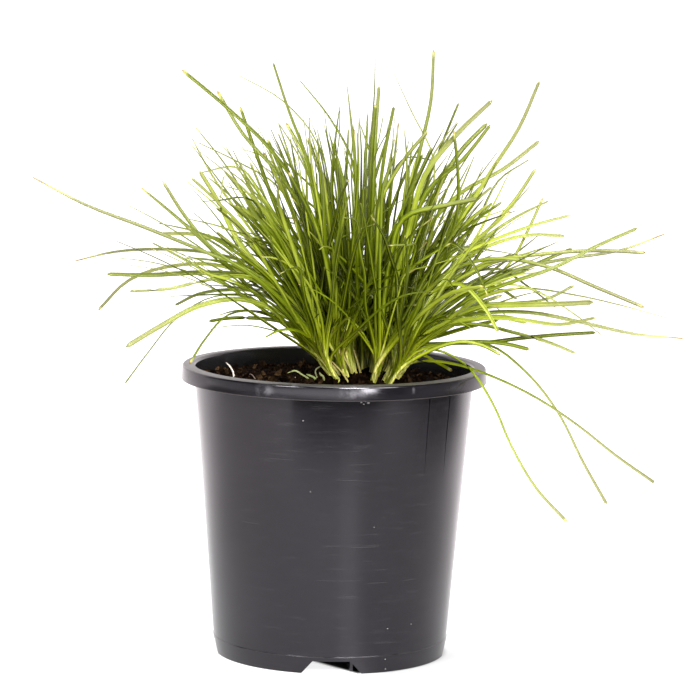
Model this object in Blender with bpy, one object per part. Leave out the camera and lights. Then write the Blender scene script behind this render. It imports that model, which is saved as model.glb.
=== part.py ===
"""Clump of ornamental grass growing in a black nursery pot. Blender 4.5, metres, +Z up.

The pot stands on Z = 0 with its axis on Z, and the side that the notch faces looks along -Y.
Lengths in the tables below are millimetres, turned into metres where they are used.
"""
import math
import random
from collections import namedtuple
from itertools import permutations

import bmesh
import bpy
from mathutils import Matrix, Vector, noise
from mathutils.bvhtree import BVHTree
from mathutils.geometry import interpolate_bezier

MM = 0.001
UP = Vector((0, 0, 1))
GAP = 0.3 * MM                  # left between pieces that touch

# Pot: a thin moulded nursery pot of the common 200 mm size
POT_SIDES = 48
POT_HEIGHT = 190 * MM
RIM_RADIUS = 100 * MM           # at the lower edge of the rim's skirt
RIM_TOP_RADIUS = 99.2 * MM
RIM_DROP = 9.7 * MM             # height of the skirt
RIM_WALL = 2.4 * MM             # thickness of the ledge
BODY_TOP_RADIUS = 91.1 * MM     # just under the skirt
BASE_RADIUS = 76 * MM
WALL = 1.3 * MM
FLOOR_WALL = 1.5 * MM
CHANNEL_HEIGHT = 8 * MM         # the raised drainage ring in the underside
PAD_RADIUS = 40 * MM            # the middle of the underside, which stands on the ground
NOTCH_HEIGHT = 7.4 * MM
NOTCH_WIDTH_LOW = 38.6 * MM
NOTCH_WIDTH_TOP = 23 * MM
NOTCH_COUNT = 4
NOTCH_TURN = math.radians(-88.7)
RIB_TURN = math.radians(-78)    # a rib stands just beside each notch
RIB_WALL = 1.8 * MM
HOLE_RADIUS = 5 * MM
HOLE_COUNT = 8
HOLE_CIRCLE = 58 * MM

# Potting mix
SOIL_DROP = 12.5 * MM           # from the rim down to the mix at the wall
SOIL_SIDES = 32
SOIL_RINGS = (12, 25, 39, 55, 73)
CROWN = Vector((19, 0)) * MM    # middle of the clump
CROWN_RADIUS = 36 * MM
MOUND_HEIGHT = 8.5 * MM
MOUND_SPREAD = 30 * MM
LUMP = Vector((-66, 22)) * MM   # a heap by the left wall
LUMP_HEIGHT = 3 * MM
LUMP_SPREAD = 12 * MM
SOIL_RISE_LEFT = 0.02           # the mix lies a little higher at the left

# Shoots
SET_DEPTH = 4 * MM              # how deep a shoot's foot stands in the mix
COLLAR_HEIGHT = 5.5 * MM        # where a shoot opens into its leaves, above the mix
THROAT = 7 * MM                 # the leaves still stand side by side this far above the collar
THROAT_SPREAD = 0.9             # by how much they have spread there
LEAF_PITCH = 1.15 * MM          # between neighbouring leaves in a shoot
SHOOT_HALF_WALL = 1.7 * MM
LEAVES_IN_A_SHOOT = 6
BLADE_STOPS = (0.04, 0.17, 0.33, 0.5, 0.67, 0.84, 1)   # sections along a blade of the table
FILL_STOPS = (0.05, 0.28, 0.52, 0.76, 1)               # and along one in the thick of the clump
BASE_TURN = 3.5                 # a blade lies level from 1 / BASE_TURN of its length on
KEEL = 0.28                     # depth of a blade's fold, to its width
SWELL = 0.9 * MM                # room kept round a blade
SIBLING_SWELL = 0.15 * MM       # and between the leaves of one shoot

# Where the clump was looked at from. A front point (x, z) lies on the plane y = 0 through the
# pot's axis, and a leaf's points slide from there to their own depth along the line of sight.
VIEWPOINT = Vector((10.1, -2267, 503)) * MM

# Middles of the shoots at the mix, as (x, y)
SHOOT_PLACES = (
    (-3, -27), (4, -18), (10, -6), (-8, -14), (-1, -3), (-9, 2), (8, 7), (-3, 13), (19, 6),
    (13, 20), (24, 19), (3, 25), (17, 32), (28, -28), (30, -13), (28, 2), (40, -38), (38, -24),
    (38, -6), (38, 9), (47, -14), (34, 23), (47, 4), (28, 34), (45, 19), (39, 36),
)

THIN = 1.6
FINE = 2.4
FULL = 3.4
WIDE = 4.6

# Leaves that stand clear of the clump: shoot, width, depth of the tip (y), then the front
# points (x, z) from near the crown to the tip.
LEAF_TABLE = (
    # reaching up to the left
    (1, FULL, -50, ((-24, 304), (-58, 344), (-102, 381))),
    (1, FULL, -20, ((-21, 291), (-61, 339), (-79, 368))),
    (4, FULL, -8, ((-34, 278), (-47, 311), (-64, 358))),
    (11, FINE, 58, ((-66, 291), (-83, 315), (-95, 337))),
    (3, WIDE, -58, ((-30, 232), (-60, 264), (-74, 290), (-90, 316))),
    (0, WIDE, -46, ((-23, 219), (-50, 245), (-81, 265), (-102, 290), (-114, 309))),
    (1, FINE, -88, ((-30, 255), (-57, 292), (-67, 306), (-77, 317), (-76, 297))),
    (4, THIN, 34, ((-31, 298), (-57, 316), (-70, 325), (-91, 334))),
    (6, THIN, 44, ((-15, 341), (-35, 361), (-65, 378))),
    (4, FULL, 4, ((-17, 272), (-32, 307), (-46, 337))),
    (2, FULL, -30, ((-10, 291), (-22, 331), (-34, 360), (-43, 387))),
    (6, FINE, 12, ((9, 328), (-11, 358), (-26, 376))),
    (2, FINE, -58, ((-26, 308), (-39, 341))),
    (6, FULL, 28, ((-21, 324), (-34, 348))),
    (1, FINE, -64, ((-11, 288), (-17, 321), (-19, 352))),
    (2, FINE, -84, ((-23, 298), (-31, 338))),
    (6, FINE, 2, ((-8, 321), (-14, 345))),
    (7, FULL, 88, ((-40, 275), (-52, 290), (-69, 312))),
    (3, FULL, -64, ((-37, 271), (-62, 292))),
    (4, FULL, -70, ((-40, 262), (-59, 293))),
    (11, FULL, 84, ((-42, 288), (-57, 322))),
    (7, THIN, 48, ((-42, 291), (-73, 306))),
    (3, FULL, -84, ((-60, 278), (-83, 300), (-95, 311))),
    # reaching out to the left
    (0, FULL, -34, ((-10, 206), (-50, 248), (-89, 264), (-115, 275), (-148, 285), (-199, 310))),
    (5, FULL, 36, ((-50, 253), (-76, 261), (-122, 264), (-148, 261), (-171, 255))),
    (3, WIDE, -6, ((-36, 239), (-76, 249), (-111, 247), (-150, 247))),
    (7, FULL, 72, ((-56, 248), (-95, 254), (-125, 249), (-134, 244), (-155, 223))),
    (0, FULL, -74, ((-49, 242), (-69, 247), (-102, 239), (-135, 236))),
    (7, FULL, 104, ((-46, 235), (-85, 236), (-105, 227))),
    (5, THIN, 62, ((-46, 232), (-88, 234), (-109, 233))),
    (0, WIDE, -58, ((-10, 203), (-30, 220), (-62, 232), (-92, 226), (-121, 209), (-137, 199))),
    (5, THIN, 28, ((-56, 234), (-92, 228), (-114, 206), (-137, 175))),
    (3, FINE, -24, ((-23, 215), (-48, 224), (-69, 222), (-85, 205), (-92, 191), (-95, 188.5))),
    (5, FULL, 14, ((-23, 214), (-59, 220), (-83, 217))),
    (3, THIN, -44, ((-25, 206), (-59, 215), (-86, 211))),
    (7, FINE, 96, ((-50, 250), (-82, 258), (-97, 259))),
    (3, FINE, -94, ((-53, 237), (-89, 251), (-100, 261))),
    (7, FINE, 60, ((-63, 257), (-89, 274), (-110, 290))),
    (3, FINE, -20, ((-53, 257), (-86, 274), (-117, 281))),
    (4, FINE, 18, ((-37, 257), (-66, 276), (-97, 284))),
    (5, FULL, 8, ((-63, 264), (-92, 274), (-115, 274))),
    # the top of the clump
    (2, FULL, -34, ((12, 318), (8, 351), (5, 375))),
    (2, FULL, -18, ((-4, 308), (-3, 325), (1, 361))),
    (8, THIN, -8, ((21, 335), (23, 364), (23, 402))),
    (10, FULL, 24, ((24, 331), (26, 373))),
    (8, FULL, -36, ((22, 325), (24, 361))),
    (9, FULL, 40, ((18, 321), (19, 356))),
    (14, FULL, -30, ((28, 312), (32, 338), (36, 360))),
    (8, THIN, -52, ((23, 322), (35, 348))),
    (15, THIN, 40, ((64, 312), (55, 342), (46, 359), (33, 386))),
    (14, FULL, -4, ((48, 299), (55, 342), (60, 365), (61, 397))),
    (14, FINE, -56, ((40, 273), (45, 315), (43, 345))),
    (13, FULL, -50, ((29, 302), (41, 322), (58, 344))),
    (10, FULL, 64, ((24, 315), (14, 348))),
    (6, FULL, 22, ((5, 305), (-6, 341))),
    (8, FINE, -70, ((9, 318), (10, 348))),
    (13, FULL, -84, ((30, 309), (38, 330))),
    # reaching up to the right
    (15, FULL, 14, ((60, 316), (70, 342), (78, 363))),
    (14, FINE, -20, ((54, 309), (68, 339), (79, 353))),
    (13, WIDE, -40, ((57, 316), (67, 329), (82, 348), (100, 365))),
    (15, WIDE, 24, ((70, 319), (81, 332), (97, 350))),
    (17, FULL, -18, ((57, 302), (78, 322), (99, 349))),
    (18, FULL, -4, ((85, 293), (97, 314), (109, 333), (122, 356), (130, 378))),
    (19, FULL, 22, ((67, 295), (96, 310), (112, 324), (131, 339))),
    (19, FINE, 46, ((92, 287), (100, 303), (109, 318), (125, 327))),
    (19, FULL, 10, ((87, 267), (110, 292), (129, 321))),
    (16, FINE, -96, ((84, 264), (106, 287), (126, 310))),
    (21, FINE, 70, ((86, 267), (100, 293), (113, 321))),
    (15, FINE, 32, ((67, 276), (80, 306), (89, 329))),
    (22, FULL, 42, ((81, 227), (101, 246), (113, 258), (125, 281), (134, 302))),
    (24, THIN, 84, ((77, 277), (103, 291), (125, 299))),
    (13, WIDE, -66, ((41, 283), (61, 293), (94, 301))),
    (14, FULL, -42, ((74, 273), (79, 303), (75, 345))),
    (13, FINE, -94, ((70, 270), (87, 292), (104, 326))),
    # reaching out to the right
    (17, FULL, -34, ((61, 247), (87, 267), (107, 275), (126, 283), (153, 291))),
    (19, FULL, 30, ((68, 247), (100, 270), (123, 277), (149, 277))),
    (20, FULL, -14, ((81, 231), (114, 246), (149, 259), (172, 272), (196, 283))),
    (22, FULL, 20, ((68, 227), (101, 245), (126, 258), (156, 263), (188, 269), (215, 280))),
    (18, FULL, -10, ((68, 237), (100, 258), (143, 266), (178, 268), (202, 267))),
    (24, FULL, 60, ((75, 234), (110, 249), (136, 261), (154, 269))),
    (21, FINE, 82, ((87, 254), (120, 264), (140, 271))),
    (18, FULL, -26, ((61, 243), (94, 260), (117, 261), (140, 256), (172, 243), (202, 231))),
    (22, THIN, 14, ((81, 231), (120, 242), (140, 241), (179, 234), (218, 224))),
    (18, FULL, -18, ((62, 217), (114, 227), (153, 222), (179, 217), (205, 212), (229, 211))),
    (22, FINE, 8, ((75, 234), (110, 246), (130, 241), (146, 232), (163, 222), (175, 212))),
    (20, WIDE, -56, ((68, 217), (94, 229), (140, 232), (169, 234))),
    (17, FULL, -76, ((62, 214), (101, 223), (127, 221), (150, 219), (171, 224))),
    (17, WIDE, -58, ((75, 217), (107, 223), (126, 220))),
    (17, FULL, -44, ((56, 204), (88, 205), (134, 211), (171, 214))),
    (20, FULL, -48, ((62, 213), (94, 218), (108, 215), (134, 209), (158, 200))),
    (16, FULL, -62, ((56, 200), (82, 206), (108, 206), (128, 202))),
    (24, FULL, 74, ((81, 227), (120, 233), (143, 237), (156, 245))),
    (24, FINE, 94, ((75, 231), (107, 246), (130, 256))),
    (24, WIDE, 50, ((62, 230), (94, 243), (110, 241), (119, 235))),
    (16, FULL, -50, ((72, 204), (91, 206), (109, 198))),
    (17, FULL, -90, ((68, 244), (88, 241), (98, 228), (107, 213))),
    (21, THIN, 50, ((88, 234), (107, 228), (119, 214))),
    # hanging over the rim at the right, and one that ends inside the pot
    (20, FULL, -110, ((69, 193), (88, 190), (108, 182), (135, 169), (161, 152), (187, 132),
                      (212, 115))),
    (18, FULL, -62, ((62, 201), (88, 207), (108, 202), (121, 192), (141, 169), (154, 150),
                     (168, 121), (181, 100))),
    (16, FULL, -84, ((59, 201), (75, 200), (87, 190), (97, 178), (109, 157), (122, 128),
                     (139, 104), (155, 88))),
    (22, WIDE, 26, ((60, 198), (72, 191), (78, 187))),
)

# The thick of the clump, between the leaves above
FILL_SEED = 2
FILL_LENGTH = (115, 185)
FILL_LEAN = (8, 52)             # degrees from upright, at the crown's middle and at its edge
FILL_BEND = (8, 48)             # degrees that a blade bends over along its length
DOME_HEIGHT = 158 * MM          # how far the thick reaches from the crown, straight up
DOME_LOSS = 38 * MM             # and how much less to the sides
DOME_HALF_ANGLE = math.radians(70)
DOME_FOOT = Vector((19, 188)) * MM
TRIES = 90

Leaf = namedtuple("Leaf", "shoot slot path stops width across roll twist")
Shoot = namedtuple("Shoot", "middle fan across soil leaves")


def clear_scene():
    for leftover in list(bpy.data.objects):
        bpy.data.objects.remove(leftover)


def plastic_or_plant(name, colour, roughness):
    """A material with the piece's own colour and roughness."""
    material = bpy.data.materials.new(name)
    material.use_nodes = True
    shader = material.node_tree.nodes["Principled BSDF"]
    shader.inputs["Base Color"].default_value = (*colour, 1)
    shader.inputs["Roughness"].default_value = roughness
    shader.inputs["Metallic"].default_value = 0
    return material


def place(name, mesh, material):
    """Makes a named object from a bmesh."""
    bmesh.ops.recalc_face_normals(mesh, faces=mesh.faces)
    data = bpy.data.meshes.new(name)
    mesh.to_mesh(data)
    mesh.free()
    piece = bpy.data.objects.new(name, data)
    bpy.context.scene.collection.objects.link(piece)
    if material:
        data.materials.append(material)
    return piece


def cut(piece, cutter, operation="DIFFERENCE"):
    """Cuts a hidden helper out of a piece, or joins it on."""
    cutter.hide_render = True
    cutter.display_type = "WIRE"
    boolean = piece.modifiers.new(cutter.name, "BOOLEAN")
    boolean.operation = operation
    boolean.object = cutter


# ---------------------------------------------------------------- pot

def body_radius(height):
    """Outer radius of the pot's tapered wall at a height."""
    share = height / (POT_HEIGHT - RIM_DROP)
    return BASE_RADIUS + (BODY_TOP_RADIUS - BASE_RADIUS) * share


def pot_profile():
    """Half section of the pot: underside, outer wall, rim, inner wall, then the floor."""
    ledge_under = POT_HEIGHT - RIM_WALL
    skirt_foot = POT_HEIGHT - RIM_DROP
    floor_top = CHANNEL_HEIGHT + FLOOR_WALL
    foot_inside = BASE_RADIUS - WALL
    edge = 0.7 * MM
    return (
        (0, 0),
        (PAD_RADIUS, 0),
        (PAD_RADIUS + edge, CHANNEL_HEIGHT),
        (foot_inside - edge, CHANNEL_HEIGHT),
        (foot_inside, 0),
        (BASE_RADIUS - edge, 0),
        (BASE_RADIUS, edge),
        (body_radius(ledge_under), ledge_under),
        (RIM_TOP_RADIUS - WALL, ledge_under),
        (RIM_RADIUS - WALL, skirt_foot),
        (RIM_RADIUS, skirt_foot),
        (RIM_TOP_RADIUS, POT_HEIGHT - edge),
        (RIM_TOP_RADIUS - edge, POT_HEIGHT),
        (body_radius(POT_HEIGHT) - WALL + edge, POT_HEIGHT),
        (body_radius(POT_HEIGHT) - WALL, POT_HEIGHT - edge),
        (body_radius(floor_top) - WALL, floor_top + edge),
        (body_radius(floor_top) - WALL - edge, floor_top),
        (PAD_RADIUS - FLOOR_WALL + edge, floor_top),
        (PAD_RADIUS - FLOOR_WALL, FLOOR_WALL),
        (0, FLOOR_WALL),
    )


def turned(profile, sides):
    """Closed mesh of a profile spun about Z, from axis to axis."""
    mesh = bmesh.new()
    points = [mesh.verts.new((radius, 0, height)) for radius, height in profile]
    lines = [mesh.edges.new(pair) for pair in zip(points, points[1:])]
    bmesh.ops.spin(mesh, geom=points + lines, cent=(0, 0, 0), axis=(0, 0, 1),
                   angle=2 * math.pi, steps=sides)
    bmesh.ops.remove_doubles(mesh, verts=mesh.verts, dist=0.01 * MM)
    return mesh


def notch_cutter():
    """Wedges that pass through the foot, narrower at the top."""
    mesh = bmesh.new()
    reach = (BASE_RADIUS - 8 * MM, BASE_RADIUS + 8 * MM)
    outline = (
        (-NOTCH_WIDTH_LOW / 2 - 1 * MM, -1 * MM),
        (NOTCH_WIDTH_LOW / 2 + 1 * MM, -1 * MM),
        (NOTCH_WIDTH_TOP / 2, NOTCH_HEIGHT),
        (-NOTCH_WIDTH_TOP / 2, NOTCH_HEIGHT),
    )
    for number in range(NOTCH_COUNT):
        turn = Matrix.Rotation(NOTCH_TURN + number * 2 * math.pi / NOTCH_COUNT, 3, "Z")
        inner, outer = ([mesh.verts.new(turn @ Vector((radius, side, height)))
                         for side, height in outline] for radius in reach)
        mesh.faces.new(inner)
        mesh.faces.new(outer)
        for a, b, c, d in zip(inner, outer, outer[1:] + outer[:1], inner[1:] + inner[:1]):
            mesh.faces.new((a, b, c, d))
    return place("notch_cutter", mesh, None)


def hole_cutter():
    """Round drain holes through the raised ring of the floor."""
    mesh = bmesh.new()
    for number in range(HOLE_COUNT):
        turn = RIB_TURN + (number + 0.5) * 2 * math.pi / HOLE_COUNT
        middle = Vector((math.cos(turn), math.sin(turn), 0)) * HOLE_CIRCLE
        middle.z = CHANNEL_HEIGHT + FLOOR_WALL / 2
        bmesh.ops.create_cone(mesh, cap_ends=True, segments=10, radius1=HOLE_RADIUS,
                              radius2=HOLE_RADIUS, depth=4 * FLOOR_WALL,
                              matrix=Matrix.Translation(middle))
    return place("hole_cutter", mesh, None)


def rib_block():
    """Upright ribs that cross the raised ring under the floor."""
    mesh = bmesh.new()
    inner, outer = PAD_RADIUS - FLOOR_WALL / 2, BASE_RADIUS - WALL / 2
    for number in range(NOTCH_COUNT):
        turn = Matrix.Rotation(RIB_TURN + number * 2 * math.pi / NOTCH_COUNT, 4, "Z")
        move = Matrix.Translation(((inner + outer) / 2, 0, (CHANNEL_HEIGHT + 1.5 * MM) / 2))
        size = Matrix.Diagonal((outer - inner, RIB_WALL, CHANNEL_HEIGHT + 0.5 * MM, 1))
        bmesh.ops.create_cube(mesh, size=1, matrix=turn @ move @ size)
    return place("rib_block", mesh, None)


def make_pot():
    black = plastic_or_plant("pot_black", (0.065, 0.062, 0.068), 0.42)
    pot = place("pot", turned(pot_profile(), POT_SIDES), black)
    cut(pot, rib_block(), "UNION")
    cut(pot, notch_cutter())
    cut(pot, hole_cutter())
    return pot


# ---------------------------------------------------------------- potting mix

def soil_level(x, y):
    """Height of the mix's surface."""
    spot = Vector((x, y))
    level = POT_HEIGHT - SOIL_DROP - SOIL_RISE_LEFT * x
    level += MOUND_HEIGHT * math.exp(-(spot - CROWN).length_squared / (2 * MOUND_SPREAD ** 2))
    level += LUMP_HEIGHT * math.exp(-(spot - LUMP).length_squared / (2 * LUMP_SPREAD ** 2))
    return level + 1.1 * MM * noise.noise(Vector((x, y, 0)) / (16 * MM))


def soil_mesh():
    """A plug that fills the pot, with a heaped top."""
    mesh = bmesh.new()
    room = 0.5 * MM
    floor = CHANNEL_HEIGHT + FLOOR_WALL + GAP
    wall_radius = body_radius(POT_HEIGHT - SOIL_DROP) - WALL - room
    foot_radius = body_radius(floor) - WALL - 2 * room
    radii = [ring * MM for ring in SOIL_RINGS] + [wall_radius]
    turns = [2 * math.pi * side / SOIL_SIDES for side in range(SOIL_SIDES)]
    rings = []
    for radius in radii:
        spots = [(radius * math.cos(turn), radius * math.sin(turn)) for turn in turns]
        rings.append([mesh.verts.new((x, y, soil_level(x, y))) for x, y in spots])
    rings.append([mesh.verts.new((foot_radius * math.cos(turn), foot_radius * math.sin(turn),
                                  floor)) for turn in turns])
    top = mesh.verts.new((0, 0, soil_level(0, 0)))
    bottom = mesh.verts.new((0, 0, floor))
    for inner, outer in zip(rings, rings[1:]):
        for side in range(SOIL_SIDES):
            after = (side + 1) % SOIL_SIDES
            mesh.faces.new((inner[side], outer[side], outer[after], inner[after]))
    for side in range(SOIL_SIDES):
        after = (side + 1) % SOIL_SIDES
        mesh.faces.new((top, rings[0][side], rings[0][after]))
        mesh.faces.new((bottom, rings[-1][after], rings[-1][side]))
    bmesh.ops.triangulate(mesh, faces=mesh.faces)
    return mesh


def sheath_corners(shoot, height):
    """Corners of a shoot's flat foot at a height: a zigzag strip, one triangle to a leaf."""
    corners = []
    count = len(shoot.leaves) + 2
    for number in range(count):
        along = (number - (count - 1) / 2) * LEAF_PITCH
        side = SHOOT_HALF_WALL if number % 2 else -SHOOT_HALF_WALL
        corner = shoot.middle + shoot.fan * along + shoot.across * side
        corners.append(Vector((corner.x, corner.y, height)))
    return corners


def round_the_strip(items):
    """The strip's corners in the order of its edge: even ones out, odd ones back."""
    return items[0::2] + items[1::2][::-1]


def socket_corners(shoot, height):
    """Four corners of a hole in the mix, a little larger than a shoot's foot."""
    half_length = (len(shoot.leaves) + 1) / 2 * LEAF_PITCH + GAP
    half_wall = SHOOT_HALF_WALL + GAP
    corners = []
    for along, side in ((1, 1), (-1, 1), (-1, -1), (1, -1)):
        corner = shoot.middle + shoot.fan * along * half_length + shoot.across * side * half_wall
        corners.append(Vector((corner.x, corner.y, height)))
    return corners


def socket_cutter(shoots):
    """The holes in the mix that the shoots stand in."""
    mesh = bmesh.new()
    for shoot in shoots:
        low = shoot.soil - SET_DEPTH - GAP
        high = shoot.soil + COLLAR_HEIGHT * 2
        rings = [[mesh.verts.new(corner) for corner in socket_corners(shoot, height)]
                 for height in (low, high)]
        mesh.faces.new(rings[0])
        mesh.faces.new(rings[1])
        for a, b, c, d in zip(rings[0], rings[1], rings[1][1:] + rings[1][:1],
                              rings[0][1:] + rings[0][:1]):
            mesh.faces.new((a, b, c, d))
    return place("socket_cutter", mesh, None)


def make_potting_mix(shoots):
    brown = plastic_or_plant("mix_brown", (0.040, 0.024, 0.017), 0.95)
    mix = place("potting_mix", soil_mesh(), brown)
    cut(mix, socket_cutter(shoots))
    return mix


# ---------------------------------------------------------------- leaves

def at_depth(x, z, y):
    """The point at depth y that is seen in front of or behind the front point (x, z)."""
    front = Vector((x, 0, z))
    return front + (front - VIEWPOINT) * (y / -VIEWPOINT.y)


def front_point(point):
    """The front point (x, z) behind which a point is seen."""
    share = VIEWPOINT.y / (VIEWPOINT.y - point.y)
    seen = VIEWPOINT + (point - VIEWPOINT) * share
    return Vector((seen.x, seen.z))


def smooth_path(points, stops):
    """The start and the stops, as shares of its length, of a smooth curve through the points."""
    ends = [2 * points[0] - points[1], *points, 2 * points[-1] - points[-2]]
    dense = []
    for before, start, end, after in zip(ends, ends[1:], ends[2:], ends[3:]):
        handle = (end - start).length / 3
        leave = start + (end - before).normalized() * handle
        arrive = end - (after - start).normalized() * handle
        dense += interpolate_bezier(start, leave, arrive, end, 16)[:-1]
    dense.append(points[-1])
    lengths = [0.0]
    for a, b in zip(dense, dense[1:]):
        lengths.append(lengths[-1] + (b - a).length)
    path = []
    step = 0
    for stop in (0, *stops):
        goal = lengths[-1] * stop
        while step < len(dense) - 2 and lengths[step + 1] < goal:
            step += 1
        share = (goal - lengths[step]) / max(lengths[step + 1] - lengths[step], 1e-9)
        path.append(dense[step].lerp(dense[step + 1], min(share, 1.0)))
    return path


def seen_leaf_points(points, depth, table_points, bow):
    """Carries a leaf on through its front points to a tip at the given depth."""
    start = points[-1]
    fronts = [Vector(point) * MM for point in table_points]
    walk = [(fronts[0] - front_point(start)).length]
    for a, b in zip(fronts, fronts[1:]):
        walk.append(walk[-1] + (b - a).length)
    for front, length in zip(fronts, walk):
        share = length / walk[-1]
        y = start.y + (depth - start.y) * share ** 1.15 + bow * math.sin(math.pi * share)
        points.append(at_depth(front.x, front.y, y))
    return points


def arching_points(points, heading, lean, bend, length):
    """Carries a leaf on at an angle from upright, bending over towards its tip."""
    outward = Vector((math.cos(heading), math.sin(heading), 0))
    steps = 4
    for number in range(steps):
        angle = lean + bend * ((number + 0.7) / steps) ** 1.6
        points.append(points[-1] + (outward * math.sin(angle) + UP * math.cos(angle)) * length / steps)
    return points


def blade_width(leaf, share):
    """Full width of a blade at a share of its length."""
    taper = 1 - max(0.0, (share - 0.45) / 0.55) ** 1.7
    return leaf.width * (0.75 + 0.25 * min(1.0, share * 5)) * taper


def blade_sections(leaf, swell=0.0):
    """Three-cornered sections along a blade: its two edges, and the keel under them."""
    path = leaf.path
    reach = path[-1] - path[0]
    level = UP.cross(Vector((reach.x, reach.y, 0)).normalized())
    flat = leaf.across * math.copysign(1, level.dot(leaf.across))
    sections = []
    for number, share in enumerate(leaf.stops, start=1):
        after = path[min(number + 1, len(path) - 1)] if number > 1 else path[1]
        ahead = (after - path[number - 1]).normalized()
        grown = max(0.0, share - leaf.stops[0])
        side = flat.lerp(level, min(1.0, grown * BASE_TURN))
        side = (side - ahead * side.dot(ahead)).normalized()
        roll = leaf.roll * min(1.0, grown * 3) + leaf.twist * grown
        side = Matrix.Rotation(roll, 3, ahead) @ side
        face = ahead.cross(side)
        half = max(blade_width(leaf, share) / 2, 0.25 * MM) + swell / 2
        middle = path[number] + face * swell / 3
        sections.append((middle - side * half, middle + side * half,
                         middle - face * (2 * half * KEEL + swell)))
    return sections


def tube_faces(low, high):
    """Triangles between two three-cornered sections, each side split along its short diagonal."""
    faces = []
    for a, b in ((0, 1), (1, 2), (2, 0)):
        if (low[a] - high[b]).length < (low[b] - high[a]).length:
            faces += [((0, a), (0, b), (1, b)), ((0, a), (1, b), (1, a))]
        else:
            faces += [((0, a), (0, b), (1, a)), ((0, b), (1, b), (1, a))]
    return faces


def blade_tree(leaf, swell):
    """A search tree of a slightly swollen blade."""
    sections = blade_sections(leaf, swell)
    corners = [corner for section in sections for corner in section]
    faces = []
    for number, (low, high) in enumerate(zip(sections, sections[1:])):
        for face in tube_faces(low, high):
            faces.append([3 * (number + end) + corner for end, corner in face])
    return BVHTree.FromPolygons(corners, faces)


def stands_clear(leaf, placed, obstacles):
    """True where a leaf crosses no leaf placed before it, nor the pot or the mix."""
    swollen, slim = blade_tree(leaf, SWELL), blade_tree(leaf, SIBLING_SWELL)
    for other, other_swollen, other_slim in placed:
        if other.shoot == leaf.shoot:
            crossing = slim.overlap(other_slim)
        else:
            crossing = swollen.overlap(other_swollen)
        if crossing:
            return False
    return not any(swollen.overlap(obstacle) for obstacle in obstacles)


def in_the_dome(path):
    """True where a blade stays in the thick of the clump, as seen from the front."""
    for point in path[2:]:
        reach = front_point(point) - DOME_FOOT
        angle = math.atan2(abs(reach.x), reach.y)
        if angle > DOME_HALF_ANGLE:
            return False
        if reach.length > DOME_HEIGHT - DOME_LOSS * math.sin(angle) ** 2:
            return False
    return True


def roll_towards_front(chance, heading_x):
    """A roll about the blade's own line, mostly one that shows its upper face at the front."""
    roll = math.radians(chance.uniform(10, 60))
    if chance.random() < 0.25:
        roll = -roll
    return math.copysign(1, heading_x) * roll


def slot_start(shoot, slot):
    """Where the leaf in a slot of a shoot's strip leaves the collar, and the throat above it."""
    offset = (slot - (len(shoot.leaves) - 1) / 2) * LEAF_PITCH
    collar = shoot.middle + UP * (shoot.soil + COLLAR_HEIGHT) + shoot.fan * offset
    return [collar, collar + UP * THROAT + shoot.fan * offset * THROAT_SPREAD]


def plan_shoots(chance):
    """Where each shoot stands, which way its fan spreads and what leaves it bears, in order.

    A leaf stands in the plan as its lean along the fan, its row in the table, or else None and
    its heading and lean from upright, in radians.
    """
    shoots = []
    for number, (x, y) in enumerate(SHOOT_PLACES):
        middle = Vector((x, y, 0)) * MM
        outward = Vector((middle.x - CROWN.x, middle.y - CROWN.y, 0))
        fan = Vector((outward.x * 1.4 + 1 * MM, outward.y, 0)).normalized()
        across = UP.cross(fan)
        soil = soil_level(middle.x, middle.y)
        collar = middle + UP * (soil + COLLAR_HEIGHT)
        bears = []
        for row, (shoot, _, depth, fronts) in enumerate(LEAF_TABLE):
            if shoot == number:
                leaving = seen_leaf_points([collar], depth * MM, fronts, 0)[1] - collar
                bears.append((math.atan2(fan.dot(leaving), leaving.z), row, None, None))
        fan_heading = math.atan2(fan.y, fan.x)
        edge = min(1.0, (middle.to_2d() - CROWN).length / CROWN_RADIUS)
        for _ in range(LEAVES_IN_A_SHOOT - len(bears)):
            heading = fan_heading + chance.uniform(-1.5, 1.5)
            spread = chance.uniform(0.05, 1) * (FILL_LEAN[1] - FILL_LEAN[0]) * edge
            lean = math.radians(FILL_LEAN[0] + spread)
            key = math.atan(math.tan(lean) * math.cos(heading - fan_heading))
            bears.append((key, None, heading, lean))
        bears.sort(key=lambda leaf: leaf[0])
        shoots.append(Shoot(middle, fan, across, soil, bears))
    return shoots


def place_table_leaf(shoots, shoot_number, slot, row, placed, obstacles, chance):
    """Shifts a table leaf along the line of sight until it stands clear."""
    _, width, depth, fronts = LEAF_TABLE[row]
    shoot = shoots[shoot_number]
    start = slot_start(shoot, slot)
    roll = roll_towards_front(chance, fronts[-1][0] * MM - start[0].x)
    twist = math.radians(chance.uniform(-40, 40))
    for attempt in range(TRIES):
        shift = chance.uniform(-1, 1) * 1.1 * attempt
        bow = chance.uniform(-1, 1) * 0.5 * attempt
        points = seen_leaf_points(list(start), (depth + shift) * MM, fronts, bow * MM)
        path = smooth_path(points, BLADE_STOPS)
        leaf = Leaf(shoot_number, slot, path, BLADE_STOPS, width * MM, shoot.across, roll, twist)
        if stands_clear(leaf, placed, obstacles):
            return leaf
    return None


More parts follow.
